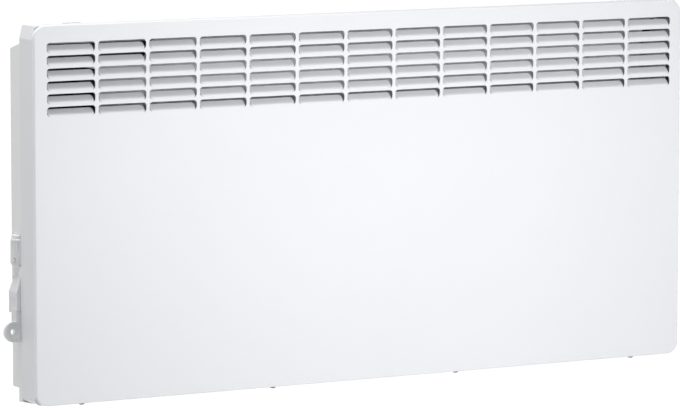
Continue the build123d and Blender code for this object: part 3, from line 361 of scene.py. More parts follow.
def mathNode(tree, operation, first, second=None):
    node = tree.nodes.new("ShaderNodeMath")
    node.operation = operation
    for slot, value in enumerate((first, second)):
        if value is None:
            continue
        if isinstance(value, (int, float)):
            node.inputs[slot].default_value = value
        else:
            tree.links.new(value, node.inputs[slot])
    return node.outputs[0]


def repeatGrid(name, base, cell, columns, rows, across, up, centre, material):
    # the cell in columns and rows on an upright or lying grid, joined to the base mesh
    sizes = {
        "Cell": cell, "Columns": columns, "Rows": rows, "Across": across,
        "Up": up, "Centre": centre, "Merge": weld["cells"], "Finish": finishes[material],
    }
    tree, given, shown = startTree(name, sizes)
    link = tree.links.new
    count = mathNode(tree, "MULTIPLY", given.outputs["Columns"], given.outputs["Rows"])
    points = tree.nodes.new("GeometryNodePoints")
    link(count, points.inputs["Count"])
    index = tree.nodes.new("GeometryNodeInputIndex").outputs[0]
    column = mathNode(tree, "MODULO", index, given.outputs["Columns"])
    row = mathNode(tree, "FLOOR", mathNode(tree, "DIVIDE", index, given.outputs["Columns"]))
    offsets = []
    for place, total in ((column, "Columns"), (row, "Rows")):
        half = mathNode(tree, "DIVIDE", mathNode(tree, "SUBTRACT", given.outputs[total], 1.0), 2.0)
        offsets.append(mathNode(tree, "SUBTRACT", place, half))
    steps = []
    for offset, pitch in zip(offsets, ("Across", "Up")):
        scaled = tree.nodes.new("ShaderNodeVectorMath")
        scaled.operation = "SCALE"
        link(given.outputs[pitch], scaled.inputs[0])
        link(offset, scaled.inputs["Scale"])
        steps.append(scaled.outputs[0])
    whole = steps[0]
    for other in (steps[1], given.outputs["Centre"]):
        added = tree.nodes.new("ShaderNodeVectorMath")
        link(whole, added.inputs[0])
        link(other, added.inputs[1])
        whole = added.outputs[0]
    moved = tree.nodes.new("GeometryNodeSetPosition")
    link(points.outputs[0], moved.inputs["Geometry"])
    link(whole, moved.inputs["Position"])
    source = tree.nodes.new("GeometryNodeObjectInfo")
    link(given.outputs["Cell"], source.inputs["Object"])
    copies = tree.nodes.new("GeometryNodeInstanceOnPoints")
    link(moved.outputs[0], copies.inputs["Points"])
    link(source.outputs["Geometry"], copies.inputs["Instance"])
    joined = tree.nodes.new("GeometryNodeJoinGeometry")
    link(given.outputs["Geometry"], joined.inputs[0])
    link(copies.outputs[0], joined.inputs[0])
    real = tree.nodes.new("GeometryNodeRealizeInstances")
    link(joined.outputs[0], real.inputs[0])
    merged = tree.nodes.new("GeometryNodeMergeByDistance")
    link(real.outputs[0], merged.inputs["Geometry"])
    link(given.outputs["Merge"], merged.inputs["Distance"])
    painted = tree.nodes.new("GeometryNodeSetMaterial")
    link(merged.outputs[0], painted.inputs["Geometry"])
    link(given.outputs["Finish"], painted.inputs["Material"])
    link(painted.outputs[0], shown.inputs[0])
    useTree(base, tree, sizes)


def repeatAtPoints(name, base, cell, material):
    # one copy of the cell at each of the base mesh's points
    sizes = {"Cell": cell, "Finish": finishes[material]}
    tree, given, shown = startTree(name, sizes)
    link = tree.links.new
    source = tree.nodes.new("GeometryNodeObjectInfo")
    link(given.outputs["Cell"], source.inputs["Object"])
    copies = tree.nodes.new("GeometryNodeInstanceOnPoints")
    link(source.outputs["Geometry"], copies.inputs["Instance"])
    link(given.outputs["Geometry"], copies.inputs["Points"])
    real = tree.nodes.new("GeometryNodeRealizeInstances")
    link(copies.outputs[0], real.inputs[0])
    painted = tree.nodes.new("GeometryNodeSetMaterial")
    link(real.outputs[0], painted.inputs["Geometry"])
    link(given.outputs["Finish"], painted.inputs["Material"])
    link(painted.outputs[0], shown.inputs[0])
    useTree(base, tree, sizes)


def pointMesh(name, places):
    mesh = bpy.data.meshes.new(name)
    mesh.from_pydata([tuple(place) for place in places], [], [])
    piece = bpy.data.objects.new(name, mesh)
    bpy.context.scene.collection.objects.link(piece)
    return piece


# ---- camera, light and surroundings

view = {
    "place": (-2.5691, -4.7653, 0.6444),
    "turn": (90 - 6.809, 0.0, -28.338),
    "lens": 233.67,
}
camera = bpy.data.cameras.new("camera")
camera.lens = view["lens"]
camera.sensor_width = 36.0
camera.clip_end = 60.0
cameraObject = bpy.data.objects.new("camera", camera)
cameraObject.location = view["place"]
cameraObject.rotation_euler = [math.radians(turn) for turn in view["turn"]]
bpy.context.scene.collection.objects.link(cameraObject)
bpy.context.scene.camera = cameraObject
bpy.context.scene.view_settings.view_transform = "Standard"

lamps = {
    # name: (place, aims at, size, power)
    "front": ((0.10, -1.0, 0.08), (0.10, 0.0, 0.04), 0.6, 4.7),
    "frontRight": ((1.0, -1.75, -0.05), (0.1, 0.0, 0.05), 0.9, 5.2),
    "aboveLeft": ((-0.95, -0.15, 2.1), (-0.35, 0.0, 0.1), 1.0, 37.0),
    "leftSide": ((-2.8, 0.5, 0.7), (-0.4, 0.0, 0.0), 1.3, 8.4),
}
for name, (place, target, size, power) in lamps.items():
    lamp = bpy.data.lights.new(name, "AREA")
    lamp.size = size
    lamp.energy = power
    lampObject = bpy.data.objects.new(name, lamp)
    lampObject.location = place
    lampObject.rotation_euler = (Vector(target) - Vector(place)).to_track_quat("-Z", "Y").to_euler()
    bpy.context.scene.collection.objects.link(lampObject)

surroundings = {
    "skyLevel": 0.28,
    "skyColour": (0.98, 0.99, 1.0),
    "floorDrop": 0.62,        # floor's level under the heater
    "floorSize": 40.0,
    "floorDark": (0.86, 0.86, 0.86),
    "floorPale": (0.9, 0.9, 0.9),
    "floorLift": 0.77,
}


def seenDirectly(tree):
    # 1 for the rays of the camera, of gloss and of glass
    rays = tree.nodes.new("ShaderNodeLightPath")
    seen = mathNode(tree, "MAXIMUM", rays.outputs["Is Camera Ray"], rays.outputs["Is Glossy Ray"])
    return mathNode(tree, "MAXIMUM", seen, rays.outputs["Is Transmission Ray"])


world = bpy.data.worlds.new("studio")
world.use_nodes = True
bpy.context.scene.world = world
worldTree = world.node_tree
worldTree.nodes.clear()
softSky = worldTree.nodes.new("ShaderNodeBackground")
softSky.inputs["Color"].default_value = (*surroundings["skyColour"], 1)
softSky.inputs["Strength"].default_value = surroundings["skyLevel"]
whiteSky = worldTree.nodes.new("ShaderNodeBackground")
whiteSky.inputs["Color"].default_value = (1, 1, 1, 1)
whiteSky.inputs["Strength"].default_value = 1.0
eitherSky = worldTree.nodes.new("ShaderNodeMixShader")
worldOut = worldTree.nodes.new("ShaderNodeOutputWorld")
worldTree.links.new(seenDirectly(worldTree), eitherSky.inputs["Fac"])
worldTree.links.new(softSky.outputs[0], eitherSky.inputs[1])
worldTree.links.new(whiteSky.outputs[0], eitherSky.inputs[2])
worldTree.links.new(eitherSky.outputs[0], worldOut.inputs["Surface"])


def paleFloor():
    material = bpy.data.materials.new("paleFloor")
    material.use_nodes = True
    tree = material.node_tree
    shader = tree.nodes["Principled BSDF"]
    place = tree.nodes.new("ShaderNodeTexCoord").outputs["Object"]
    spread = noiseOn(tree, place, 3.0, 4.0)
    tone = rampOn(tree, spread, 0.3, 0.7, surroundings["floorDark"], surroundings["floorPale"])
    tree.links.new(tone, shader.inputs["Base Color"])
    shader.inputs["Roughness"].default_value = 0.9
    # the camera sees the floor lifted to white; the object's shadow still darkens it
    lift = tree.nodes.new("ShaderNodeEmission")
    strength = mathNode(tree, "MULTIPLY", seenDirectly(tree), surroundings["floorLift"])
    tree.links.new(strength, lift.inputs["Strength"])
    both = tree.nodes.new("ShaderNodeAddShader")
    tree.links.new(shader.outputs[0], both.inputs[0])
    tree.links.new(lift.outputs[0], both.inputs[1])
    tree.links.new(both.outputs[0], tree.nodes["Material Output"].inputs["Surface"])
    build = bmesh.new()
    half = surroundings["floorSize"] / 2
    level = cadLow.z - surroundings["floorDrop"]
    lowered = Matrix.Translation((0, 0, level))
    bmesh.ops.create_grid(build, x_segments=8, y_segments=8, size=half, matrix=lowered)
    floor = newPiece("floor", build, None)
    floor.data.materials.append(material)


paleFloor()
print("camera, lamps and floor are placed")


# ---- front panel: a turned tray whose louvre cells are repeated on its face

louvre = {
    "columns": 13,
    "rows": 6,
    "pitch": 66.6 * mm,
    "rise": 15.05 * mm,
    "windowLength": 62.6 * mm,
    "windowHeight": 10.4 * mm,
    "windowCorner": 4.0 * mm,
    "firstRowDrop": 25.5 * mm,
    "bladeLength": 10.0 * mm,
    "lean": 43.0,             # degrees back from upright
    "rootRadius": 3.0 * mm,
    "footCorner": 4.2 * mm,   # the window's lower corners
    "rootCorner": 3.2 * mm,   # the blade's lower corners, inside them
    "sideGap": 1.7 * mm,
    "aside": 0.3 * mm,        # the whole field stands this much right of the middle
    "tipCorner": 3.6 * mm,
    "footSteps": 5,           # round each of the window's lower corners
    "headSteps": 7,           # and each of its upper ones
    "bendSteps": 7,           # along the blade's root bend
    "flatRows": (0.12, 0.3, 0.5),    # rows on its flat, as shares of the way to the tip
    "tipSteps": 6,
}
panel = {
    "corner": 15.0 * mm,
    "bend": 1.6 * mm,
    "edge": 5.5 * mm,         # half a millimetre short of the casing, which leaves the seam
    "sheet": 0.8 * mm,
    "cornerSteps": 10,
    "bendSteps": 6,
    "sharpFrom": 38,          # degrees between two faces
}
lean = math.radians(louvre["lean"])
rootEnd = (
    louvre["rootRadius"] * (1 - math.cos(lean)),
    louvre["rootRadius"] * math.sin(lean),
)
# the bend starts below the window, so that the blade's flat lies where the CAD blade's does
rootLow = -louvre["windowHeight"] / 2 + rootEnd[0] / math.tan(lean) - rootEnd[1]


def arcPoints(centre, radius, start, end, steps):
    turns = [math.radians(start + (end - start) * step / steps) for step in range(steps + 1)]
    return [(centre[0] + radius * math.cos(t), centre[1] + radius * math.sin(t)) for t in turns]


def bladeHalfAt(reach, total):
    # half the blade's width at a distance along it: rounded at its root and at its tip
    half = louvre["windowLength"] / 2 - louvre["sideGap"]
    for corner, gone in ((louvre["rootCorner"], reach), (louvre["tipCorner"], total - reach)):
        if gone < corner:
            return half - corner + math.sqrt(max(0.0, corner ** 2 - (corner - gone) ** 2))
    return half


def louvreCell():
    # flat surround with its window, and the blade bent back from the window's foot
    build = bmesh.new()
    halfPitch, halfRise = louvre["pitch"] / 2, louvre["rise"] / 2
    halfLong, halfHigh = louvre["windowLength"] / 2, louvre["windowHeight"] / 2
    corner, foot = louvre["windowCorner"], louvre["footCorner"]
    rootHalf = bladeHalfAt(0.0, math.inf)
    spots = {}

    def spot(x, y, z):
        key = (round(x, 7), round(y, 7), round(z, 7))
        if key not in spots:
            spots[key] = build.verts.new((x, y, z))
        return spots[key]

    def flat(outline):
        build.faces.new([spot(x, 0.0, z) for x, z in outline])

    rootRow = (halfPitch, halfLong - foot, rootHalf, -rootHalf, foot - halfLong, -halfPitch)
    flat([(-halfPitch, -halfRise), (halfPitch, -halfRise), *((x, rootLow) for x in rootRow)])
    low, high = louvre["footSteps"], louvre["headSteps"]
    leftFoot = arcPoints((-halfLong + foot, rootLow + foot), foot, 270, 180, low)
    rightFoot = arcPoints((halfLong - foot, rootLow + foot), foot, 0, -90, low)
    leftHead = arcPoints((-halfLong + corner, halfHigh - corner), corner, 180, 90, high)
    rightHead = arcPoints((halfLong - corner, halfHigh - corner), corner, 90, 0, high)
    flat([(-halfPitch, rootLow), *leftFoot, *leftHead, *rightHead, *rightFoot,
          (halfPitch, rootLow), (halfPitch, halfRise), (-halfPitch, halfRise)])
    # the blade's rows: round the root bend, then straight to its tip
    radius = louvre["rootRadius"]
    long = louvre["bladeLength"]
    tip = (long * math.sin(lean), -halfHigh + long * math.cos(lean))
    bendLength = radius * lean
    straight = math.hypot(tip[0] - rootEnd[0], tip[1] - rootLow - rootEnd[1])
    total = bendLength + straight
    bends, tips, tipCorner = louvre["bendSteps"], louvre["tipSteps"], louvre["tipCorner"]
    reaches = [bendLength * k / bends for k in range(bends + 1)]
    reaches += [bendLength + straight * share for share in louvre["flatRows"]]
    turns = [math.pi / 2 * k / tips for k in range(tips + 1)]
    reaches += [total - tipCorner * (1 - math.sin(turn)) for turn in turns]
    reaches = sorted(set(round(reach, 8) for reach in reaches))
    rows = []
    for reach in reaches:
        if reach <= bendLength:
            y = radius * (1 - math.cos(reach / radius))
            z = rootLow + radius * math.sin(reach / radius)
        else:
            y = rootEnd[0] + (reach - bendLength) * math.sin(lean)
            z = rootLow + rootEnd[1] + (reach - bendLength) * math.cos(lean)
        half = rootHalf if reach == 0 else bladeHalfAt(reach, total)
        rows.append((spot(-half, y, z), spot(half, y, z)))
    for (leftLow, rightLow), (leftTop, rightTop) in zip(rows, rows[1:]):
        build.faces.new([leftLow, rightLow, rightTop, leftTop])
    return newPiece("louvreCell", build, "panelWhite")


def roundedLoop(halfWide, halfHigh, radius, middle, depth, steps):
    # from the middle of the lower left corner, round to the right
    corners = [
        ((-halfWide + radius, -halfHigh + radius), 180),
        ((halfWide - radius, -halfHigh + radius), 270),
        ((halfWide - radius, halfHigh - radius), 0),
        ((-halfWide + radius, halfHigh - radius), 90),
    ]
    loop = []
    for centre, start in corners:
        loop += arcPoints(centre, radius, start, start + 90, steps)
    return [Vector((x, depth, middle + z)) for x, z in loop]


def panelRings(build):
    # the face's outline, round the bend and back along the turned edge
    halfWide, halfHigh = heater["width"] / 2, heater["height"] / 2
    bend, corner, steps = panel["bend"], panel["corner"], panel["cornerSteps"]
    insets = []
    for k in range(panel["bendSteps"] + 1):
        turn = math.pi / 2 * k / panel["bendSteps"]
        inset = bend * (1 - math.sin(turn))
        depth = heater["panelFace"] + bend * (1 - math.cos(turn))
        insets.append((inset, depth))
    insets.append((0.0, heater["panelFace"] + panel["edge"]))
    rings = []
    for inset, depth in insets:
        sides = (halfWide - inset, halfHigh - inset, corner - inset)
        loop = roundedLoop(*sides, panelMiddle, depth, steps)
        rings.append([build.verts.new(point) for point in loop])
    size = len(rings[0])
    for inner, outer in zip(rings, rings[1:]):
        for k in range(size):
            n = (k + 1) % size
            build.faces.new([inner[k], outer[k], outer[n], inner[n]])
    return rings[0]


def makePanel():
    face = heater["panelFace"]
    build = bmesh.new()
    outline = panelRings(build)
    # the louvre field's border, with a point wherever a cell has one
    columns, rows = louvre["columns"], louvre["rows"]
    pitch, rise = louvre["pitch"], louvre["rise"]
    fieldMiddle = panelTop - louvre["firstRowDrop"] - rise * (rows - 1) / 2
    left, right = louvre["aside"] - pitch * columns / 2, louvre["aside"] + pitch * columns / 2
    low, high = fieldMiddle - rise * rows / 2, fieldMiddle + rise * rows / 2
    xs = [left + pitch * k for k in range(columns + 1)]
    zs = [low + rise * k for k in range(rows + 1)]
    zs = sorted(zs + [low + rise * (k + 0.5) + rootLow for k in range(rows)])
    border = [(x, low) for x in xs[:-1]] + [(right, z) for z in zs[:-1]]
    border += [(x, high) for x in reversed(xs[1:])] + [(left, z) for z in reversed(zs[1:])]
    border = [build.verts.new((x, face, z)) for x, z in border]
    # four faces join it to the outline, split at the middle of each round corner
    steps = panel["cornerSteps"]
    marks = [steps // 2 + (steps + 1) * k for k in range(5)]
    starts = [0, columns, columns + len(zs) - 1, 2 * columns + len(zs) - 1, len(border)]
    for side in range(4):
        run = [outline[k % len(outline)] for k in range(marks[side], marks[side + 1] + 1)]
        edgeRun = [border[k % len(border)] for k in range(starts[side], starts[side + 1] + 1)]
        build.faces.new(run + edgeRun[::-1])
    piece = newPiece("frontPanel", build, "panelWhite")
    cell = louvreCell()
    repeatGrid("louvres on a grid", piece, cell, columns, rows, (pitch, 0.0, 0.0),
               (0.0, 0.0, rise), (louvre["aside"], face, fieldMiddle), "panelWhite")
    settle(piece, cell)
    piece.data.shade_smooth()
    wall = piece.modifiers.new("sheet", "SOLIDIFY")
    wall.thickness = panel["sheet"]
    wall.offset = -1.0
    wall.use_even_offset = True
    wall.use_rim = True
    settle(piece)
    piece.data.set_sharp_from_angle(angle=math.radians(panel["sharpFrom"]))
    evenNormals(piece)
    settle(piece)
    return piece


frontPanel = makePanel()
print("front panel:", len(frontPanel.data.polygons), "faces")
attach(frontPanel, "heater")
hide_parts("front_panel")

# ---- casing, rear band and back plate

casing = {
    "half": 446.2 * mm,
    "low": -209.2 * mm,
    "high": 239.2 * mm,
    "cadCorner": 15.0 * mm,   # radius of the CAD node's lower corners
    "corner": 7.5 * mm,       # radius that the photograph shows there
    "drawnFrom": 0.8,         # nearer to that corner's middle, as a share of its radius, all stays
    "slitLeft": -399.0 * mm,
    "slitRight": -375.0 * mm,
    "slitAside": 5.6 * mm,
    "crown": 3.0 * mm,        # how far the slit reaches down the crown
}


def tightenCasing(build):
    # draws the two lower corners out to a tighter round and sets the slit under its mark
    wide, tight = casing["cadCorner"], casing["corner"]
    for vert in build.verts:
        across = abs(vert.co.x) - (casing["half"] - wide)
        under = casing["low"] + wide - vert.co.z
        reach = math.hypot(across, under)
        if across > 0 and under > 0 and reach > casing["drawnFrom"] * wide:
            c, s = across / reach, under / reach
            flat = wide / max(c, s)
            # the straight edge's reach that way, or the tighter round's where the ray meets it
            if flat * min(c, s) > wide - tight:
                apart = wide - tight
                middle = apart * (c + s)
                flat = middle + math.sqrt(max(0.0, middle ** 2 - 2 * apart ** 2 + tight ** 2))
            grown = (flat - (wide - reach)) / reach
            vert.co.x = math.copysign(casing["half"] - wide + across * grown, vert.co.x)
            vert.co.z = casing["low"] + wide - under * grown
        elif vert.co.z > casing["high"] - casing["crown"]:
            near = heater["near"]
            if casing["slitLeft"] - near < vert.co.x < casing["slitRight"] + near:
                vert.co.x += casing["slitAside"]


dialWindow = {
    # where the CAD's window for the wheel ends, and how far its edges are drawn in
    "low": -48.2 * mm,
    "high": -9.8 * mm,
    "front": -33.81 * mm,
    "back": -9.39 * mm,
    "closeUp": 0.4 * mm,
    "closeOutside": 1.0 * mm,
    "closeInside": 0.5 * mm,
    "outside": -445.4 * mm,   # left of this a point is on the wall's outer face
    "wall": -440.0 * mm,      # right of this it isn't on the wall
}


def closeWindow(build):
    near, low, high = heater["near"], dialWindow["low"], dialWindow["high"]
    for vert in build.verts:
        x, y, z = vert.co
        if x > dialWindow["wall"] or not low - near < z < high + near:
            continue
        vert.co.z += dialWindow["closeUp"] if z < (low + high) / 2 else -dialWindow["closeUp"]
        drawn = dialWindow["closeOutside" if x < dialWindow["outside"] else "closeInside"]
        if abs(y - dialWindow["front"]) < near:
            vert.co.y += drawn
        elif abs(y - dialWindow["back"]) < near:
            vert.co.y -= drawn


reshapes = {"casing": tightenCasing, "rear_band": closeWindow}
shellPieces = {
    # node: (piece name, finish, eased edge, slot)
    "casing": ("casingShell", "casingWhite", 0.25 * mm, "white_steel"),
    "rear_band": ("rearBand", "bandWhite", 0.25 * mm, "white_steel"),
    "back_plate": ("backPlate", "casingWhite", 0.2 * mm, "white_steel"),
    "lock_housing": ("lockHousing", "plasticWhite", 0.5 * mm, "white_plastic"),
}
for node, (name, finish, edge, slotName) in shellPieces.items():
    piece = finerCopy(node, name, finish, edge, reshape=reshapes.get(node))
    if node in ("casing", "rear_band", "back_plate"):
        # the inner faces get near-black painted shade
        paintInside(piece, "primerDark")
    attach(piece, "heater")
    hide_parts(node)
print("casing, rear band and back plate are dressed")

lockPull = finerCopy("lock_pull", "lockPull", "plasticWhite", edge=0.6 * mm)
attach(lockPull, "lock")
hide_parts("lock_pull")

# ---- bottom grille and its screws

grille = {
    "slots": 26,
    "slotLength": 24.0 * mm,
    "slotWidth": 14.0 * mm,
    "slotCorner": 3.0 * mm,
    "cornerSteps": 4,
    "cellWide": 18.0 * mm,    # depth of a slot's cell
    "sheet": 1.0 * mm,
    "front": 8.0 * mm,        # depths behind the panel's face
    "back": 53.0 * mm,
    "slotsMiddle": 25.0 * mm,
    "mitre": 24.0 * mm,
    "mitreIn": 6.0 * mm,      # how far the side has come in at the mitre's rear end
    "inset": 0.8 * mm,
    "margin": 26.0 * mm,
    "ease": 0.15 * mm,        # of the sheet's edges
}


def grilleCell(pitch):
    # a rectangle with its slot
    wide = grille["cellWide"] / 2
    halfLong, halfWide = grille["slotLength"] / 2, grille["slotWidth"] / 2
    build = bmesh.new()
    steps = grille["cornerSteps"]
    rim = roundedLoop(halfLong, halfWide, grille["slotCorner"], 0.0, 0.0, steps)
    rim = [build.verts.new((place.x, place.z, 0.0)) for place in rim]
    corners = ((-pitch / 2, -wide), (pitch / 2, -wide), (pitch / 2, wide), (-pitch / 2, wide))
    corners = [build.verts.new((x, y, 0.0)) for x, y in corners]
    for side in range(4):
        first = steps // 2 + (steps + 1) * side
        run = [rim[k % len(rim)] for k in range(first, first + steps + 2)]
        build.faces.new([corners[side], *run, corners[(side + 1) % 4]][::-1])
    return newPiece("grilleCell", build, "casingWhite")


def makeGrille():
    panelFace = heater["panelFace"]
    half = heater["width"] / 2 - grille["inset"]
    pitch = 2 * (half - grille["margin"]) / grille["slots"]
    middle = panelFace + grille["slotsMiddle"]
    level = heater["bottom"] + grille["inset"] - grille["sheet"]
    wide = grille["cellWide"] / 2
    cell = grilleCell(pitch)
    build = bmesh.new()
    back, front = panelFace + grille["back"], panelFace + grille["front"]
    mitre = grille["mitre"]
    xs = [pitch * (k - grille["slots"] / 2) for k in range(grille["slots"] + 1)]
    frontRow = [build.verts.new((x, middle - wide, level)) for x in xs]
    backRow = [build.verts.new((x, middle + wide, level)) for x in xs]
    side = half - grille["mitreIn"]
    outer = ((-half, back), (-side, back - mitre), (-half + mitre, front),
             (half - mitre, front), (side, back - mitre), (half, back))
    outer = [build.verts.new((x, y, level)) for x, y in outer]
    build.faces.new([outer[2], *frontRow, outer[3]])
    build.faces.new([outer[5], *reversed(backRow), outer[0]])
    build.faces.new([outer[0], backRow[0], frontRow[0], outer[2], outer[1]])
    build.faces.new([outer[3], frontRow[-1], backRow[-1], outer[5], outer[4]])
    piece = newPiece("bottomGrille", build, "casingWhite")
    repeatGrid("grille slots in a row", piece, cell, grille["slots"], 1, (pitch, 0.0, 0.0),
               (0.0, 1.0, 0.0), (0.0, middle, level), "casingWhite")
    settle(piece, cell)
    build = bmesh.new()
    build.from_mesh(piece.data)
    for face in build.faces:
        face.normal_update()
        if face.normal.z > 0:
            face.normal_flip()
    build.to_mesh(piece.data)
    build.free()
    wall = piece.modifiers.new("sheet", "SOLIDIFY")
    wall.thickness = grille["sheet"]
    wall.offset = -1.0
    settle(piece)
    softEdges(piece, grille["ease"], 1)
    return settle(piece)


bottomGrille = makeGrille()
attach(bottomGrille, "heater")
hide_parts("bottom_grille")

footScrew = {
    "pitch": 255.6 * mm,
    "depth": 12.0 * mm,       # behind the panel's face
    "head": 4.0 * mm,
    "high": 2.7 * mm,
    "shank": 2.0 * mm,
    "long": 5.9 * mm,
    "recess": 2.0 * mm,
    "recessWide": 0.8 * mm,
    "recessDeep": 1.2 * mm,
    "recessTurn": 20,         # degrees
    "sides": 24,
    # pan head: (share of its radius, share of its height)
    "dome": ((0.0, 1.0), (0.55, 0.985), (0.8, 0.88), (0.95, 0.62), (1.0, 0.3), (1.0, 0.0)),
}


def latheInto(build, profile, steps):
    # revolves (radius, height) points about an upright axis
    turns = [2 * math.pi * k / steps for k in range(steps)]
    rings = []
    for radius, high in profile:
        spots = [(radius * math.cos(t), radius * math.sin(t), high) for t in turns]
        rings.append([build.verts.new(spot) for spot in (spots if radius else spots[:1])])
    for low, top in zip(rings, rings[1:]):
        for k in range(steps):
            n = (k + 1) % steps
            if len(low) == 1:
                build.faces.new([low[0], top[n], top[k]])
            elif len(top) == 1:
                build.faces.new([low[k], low[n], top[0]])
            else:
                build.faces.new([low[k], low[n], top[n], top[k]])


def screwCell(size, name):
    # pan head downwards with a cross recess, shank upwards
    head, high = size["head"], size["high"]
    profile = [(head * across, -high * down) for across, down in size["dome"]]
    profile += [(size["shank"], 0.0), (size["shank"], size["long"]), (0.0, size["long"])]
    build = bmesh.new()
    latheInto(build, profile, size["sides"])
    cell = newPiece(name, build, "screwDark", 40)
    cutter = bmesh.new()
    slot = (2 * size["recess"], size["recessWide"], 2 * size["recessDeep"])
    for turn in (0, 90):
        made = bmesh.ops.create_cube(cutter, size=1.0)["verts"]
        bmesh.ops.scale(cutter, vec=slot, verts=made)
        bmesh.ops.translate(cutter, vec=(0, 0, -high), verts=made)
        turned = Matrix.Rotation(math.radians(turn + size["recessTurn"]), 3, "Z")
        bmesh.ops.rotate(cutter, cent=(0, 0, 0), matrix=turned, verts=made)
    tool = newPiece(name + "Recess", cutter, "screwDark")
    cut = cell.modifiers.new("recess", "BOOLEAN")
    cut.operation = "DIFFERENCE"
    cut.object = tool
    cut.solver = "EXACT"
    cut.use_self = True
    return settle(cell, tool)


screwLevel = heater["bottom"] + grille["inset"] - grille["sheet"]
screwDepth = heater["panelFace"] + footScrew["depth"]
footSteps = (-1.5, -0.5, 0.5, 1.5)
footPlaces = [(step * footScrew["pitch"], screwDepth, screwLevel) for step in footSteps]
bottomScrews = pointMesh("bottomScrews", footPlaces)
cell = screwCell(footScrew, "footScrewCell")
repeatAtPoints("foot screws", bottomScrews, cell, "screwDark")
settle(bottomScrews, cell)
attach(bottomScrews, "heater")
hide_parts("bottom_screws")
print("bottom grille and screws are made")

# ---- thumbwheel with its numbers

dial = {
    "axis": (-440.8 * mm, -21.6 * mm),
    "low": -47.5 * mm,
    "high": -10.5 * mm,
    "radius": 12.0 * mm,
    "collarRadius": 10.8 * mm,
    "collar": 5.0 * mm,
    "flutes": 20,
    "fluteColumns": 8,        # points round one flute
    "fluteRows": 6,
    "fluteEnd": 0.35,         # share of the depth in its first and last row
    "fluteFloor": 0.8,        # under 1 it gives the flute a broader floor
    "fluteLead": (0.6, 0.4, 0.2, 0.0),    # plain rows under the flutes, in mm
    "fluteDeep": 0.8 * mm,
    "fluteLow": 16.4 * mm,    # how far under the shoulder the flutes begin and end
    "fluteTop": 1.9 * mm,
    "bore": 2.55 * mm,
    # rounded edges in mm: (out from the skirt or collar, up from the foot, shoulder or head)
    "foot": ((-2.5, 0.0), (-1.2, 0.4), (-0.35, 1.4), (0.0, 3.0)),
    "skirtTop": ((0.0, -1.65), (-0.2, -1.0)),
    "shoulder": ((0.5, -0.2), (0.0, 0.0)),
    "head": ((0.0, -1.2), (-0.35, -0.35), (-1.2, 0.0)),
    "numbers": 6,
    "numberHigh": 6.6 * mm,
    "numberSize": 1.4,        # the font's size over its figures' height
    "numberThick": 0.08 * mm,
    "numberLift": 0.02 * mm,
    "numberLevel": -41.2 * mm,
    "restTurn": 210.0,        # degrees round the axis where the number shown at rest stands
    "restNumber": 2,
    "numberStep": 45.0,
}


def makeDial():
    steps, rows = dial["flutes"] * dial["fluteColumns"], dial["fluteRows"]
    bore, radius, collar = dial["bore"], dial["radius"], dial["collarRadius"]
    low, high = dial["low"], dial["high"]
    shoulder = high - dial["collar"]
    fluteTop = shoulder - dial["fluteTop"]
    fluteLow = shoulder - dial["fluteLow"]
    # (radius, height, share of the flutes' depth)
    profile = [(bore, low, 0)]
    profile += [(radius + out * mm, low + up * mm, 0) for out, up in dial["foot"]]
    profile += [(radius, fluteLow - under * mm, 0) for under in dial["fluteLead"]]
    for k in range(rows + 1):
        share = 1 if 0 < k < rows else dial["fluteEnd"]
        profile.append((radius, fluteLow + (fluteTop - fluteLow) * k / rows, share))
    profile += [(radius + out * mm, shoulder + up * mm, 0) for out, up in dial["skirtTop"]]
    profile += [(collar + out * mm, shoulder + up * mm, 0) for out, up in dial["shoulder"]]
    profile += [(collar + out * mm, high + up * mm, 0) for out, up in dial["head"]]
    profile += [(bore, high, 0)]
    build = bmesh.new()
    rings = []
    for reach, z, fluted in profile:
        row = []
        for k in range(steps):
            turn = 2 * math.pi * k / steps
            wave = max(0.0, math.cos(turn * dial["flutes"]))
            out = reach - dial["fluteDeep"] * fluted * wave ** dial["fluteFloor"]
            x, y = dial["axis"]
            row.append(build.verts.new((x + out * math.cos(turn), y + out * math.sin(turn), z)))
        rings.append(row)
    for below, above in zip(rings, rings[1:] + rings[:1]):
        for k in range(steps):
            n = (k + 1) % steps
            build.faces.new([below[k], below[n], above[n], above[k]])
    return newPiece("thermostatDial", build, "plasticWhite", 50)


def makeNumbers():
    # plain figures wrapped round the wheel's skirt
    build = bmesh.new()
    for number in range(1, dial["numbers"] + 1):
        words = bpy.data.curves.new("number" + str(number), "FONT")
        words.body = str(number)
        words.size = dial["numberHigh"] * dial["numberSize"]
        words.align_x = "CENTER"
        words.align_y = "CENTER"
        words.extrude = dial["numberThick"]
        words.resolution_u = 4
        text = bpy.data.objects.new("number" + str(number), words)
        bpy.context.scene.collection.objects.link(text)
        bpy.context.view_layer.update()
        shown = text.evaluated_get(bpy.context.evaluated_depsgraph_get())
        mesh = bpy.data.meshes.new_from_object(shown)
        bpy.data.objects.remove(text)
        turn = math.radians(dial["restTurn"] + (number - dial["restNumber"]) * dial["numberStep"])
        radius = dial["radius"] + dial["numberLift"]
        for vert in mesh.vertices:
            x, y, z = vert.co
            around, reach = turn + x / radius, radius + z
            vert.co.x = dial["axis"][0] + reach * math.cos(around)
            vert.co.y = dial["axis"][1] + reach * math.sin(around)
            vert.co.z = dial["numberLevel"] + y
        build.from_mesh(mesh)
        bpy.data.meshes.remove(mesh)
    bmesh.ops.remove_doubles(build, verts=build.verts, dist=weld["figures"])
    bmesh.ops.recalc_face_normals(build, faces=build.faces)
    for face in build.faces:
        face.material_index = 0
    return newPiece("dialNumbers", build, "numberGrey")


thermostatDial = makeDial()
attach(thermostatDial, "dial")
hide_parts("thermostat_dial")
dialNumbers = makeNumbers()
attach(dialNumbers, "dial")
print("thumbwheel is made")

# ---- back screws

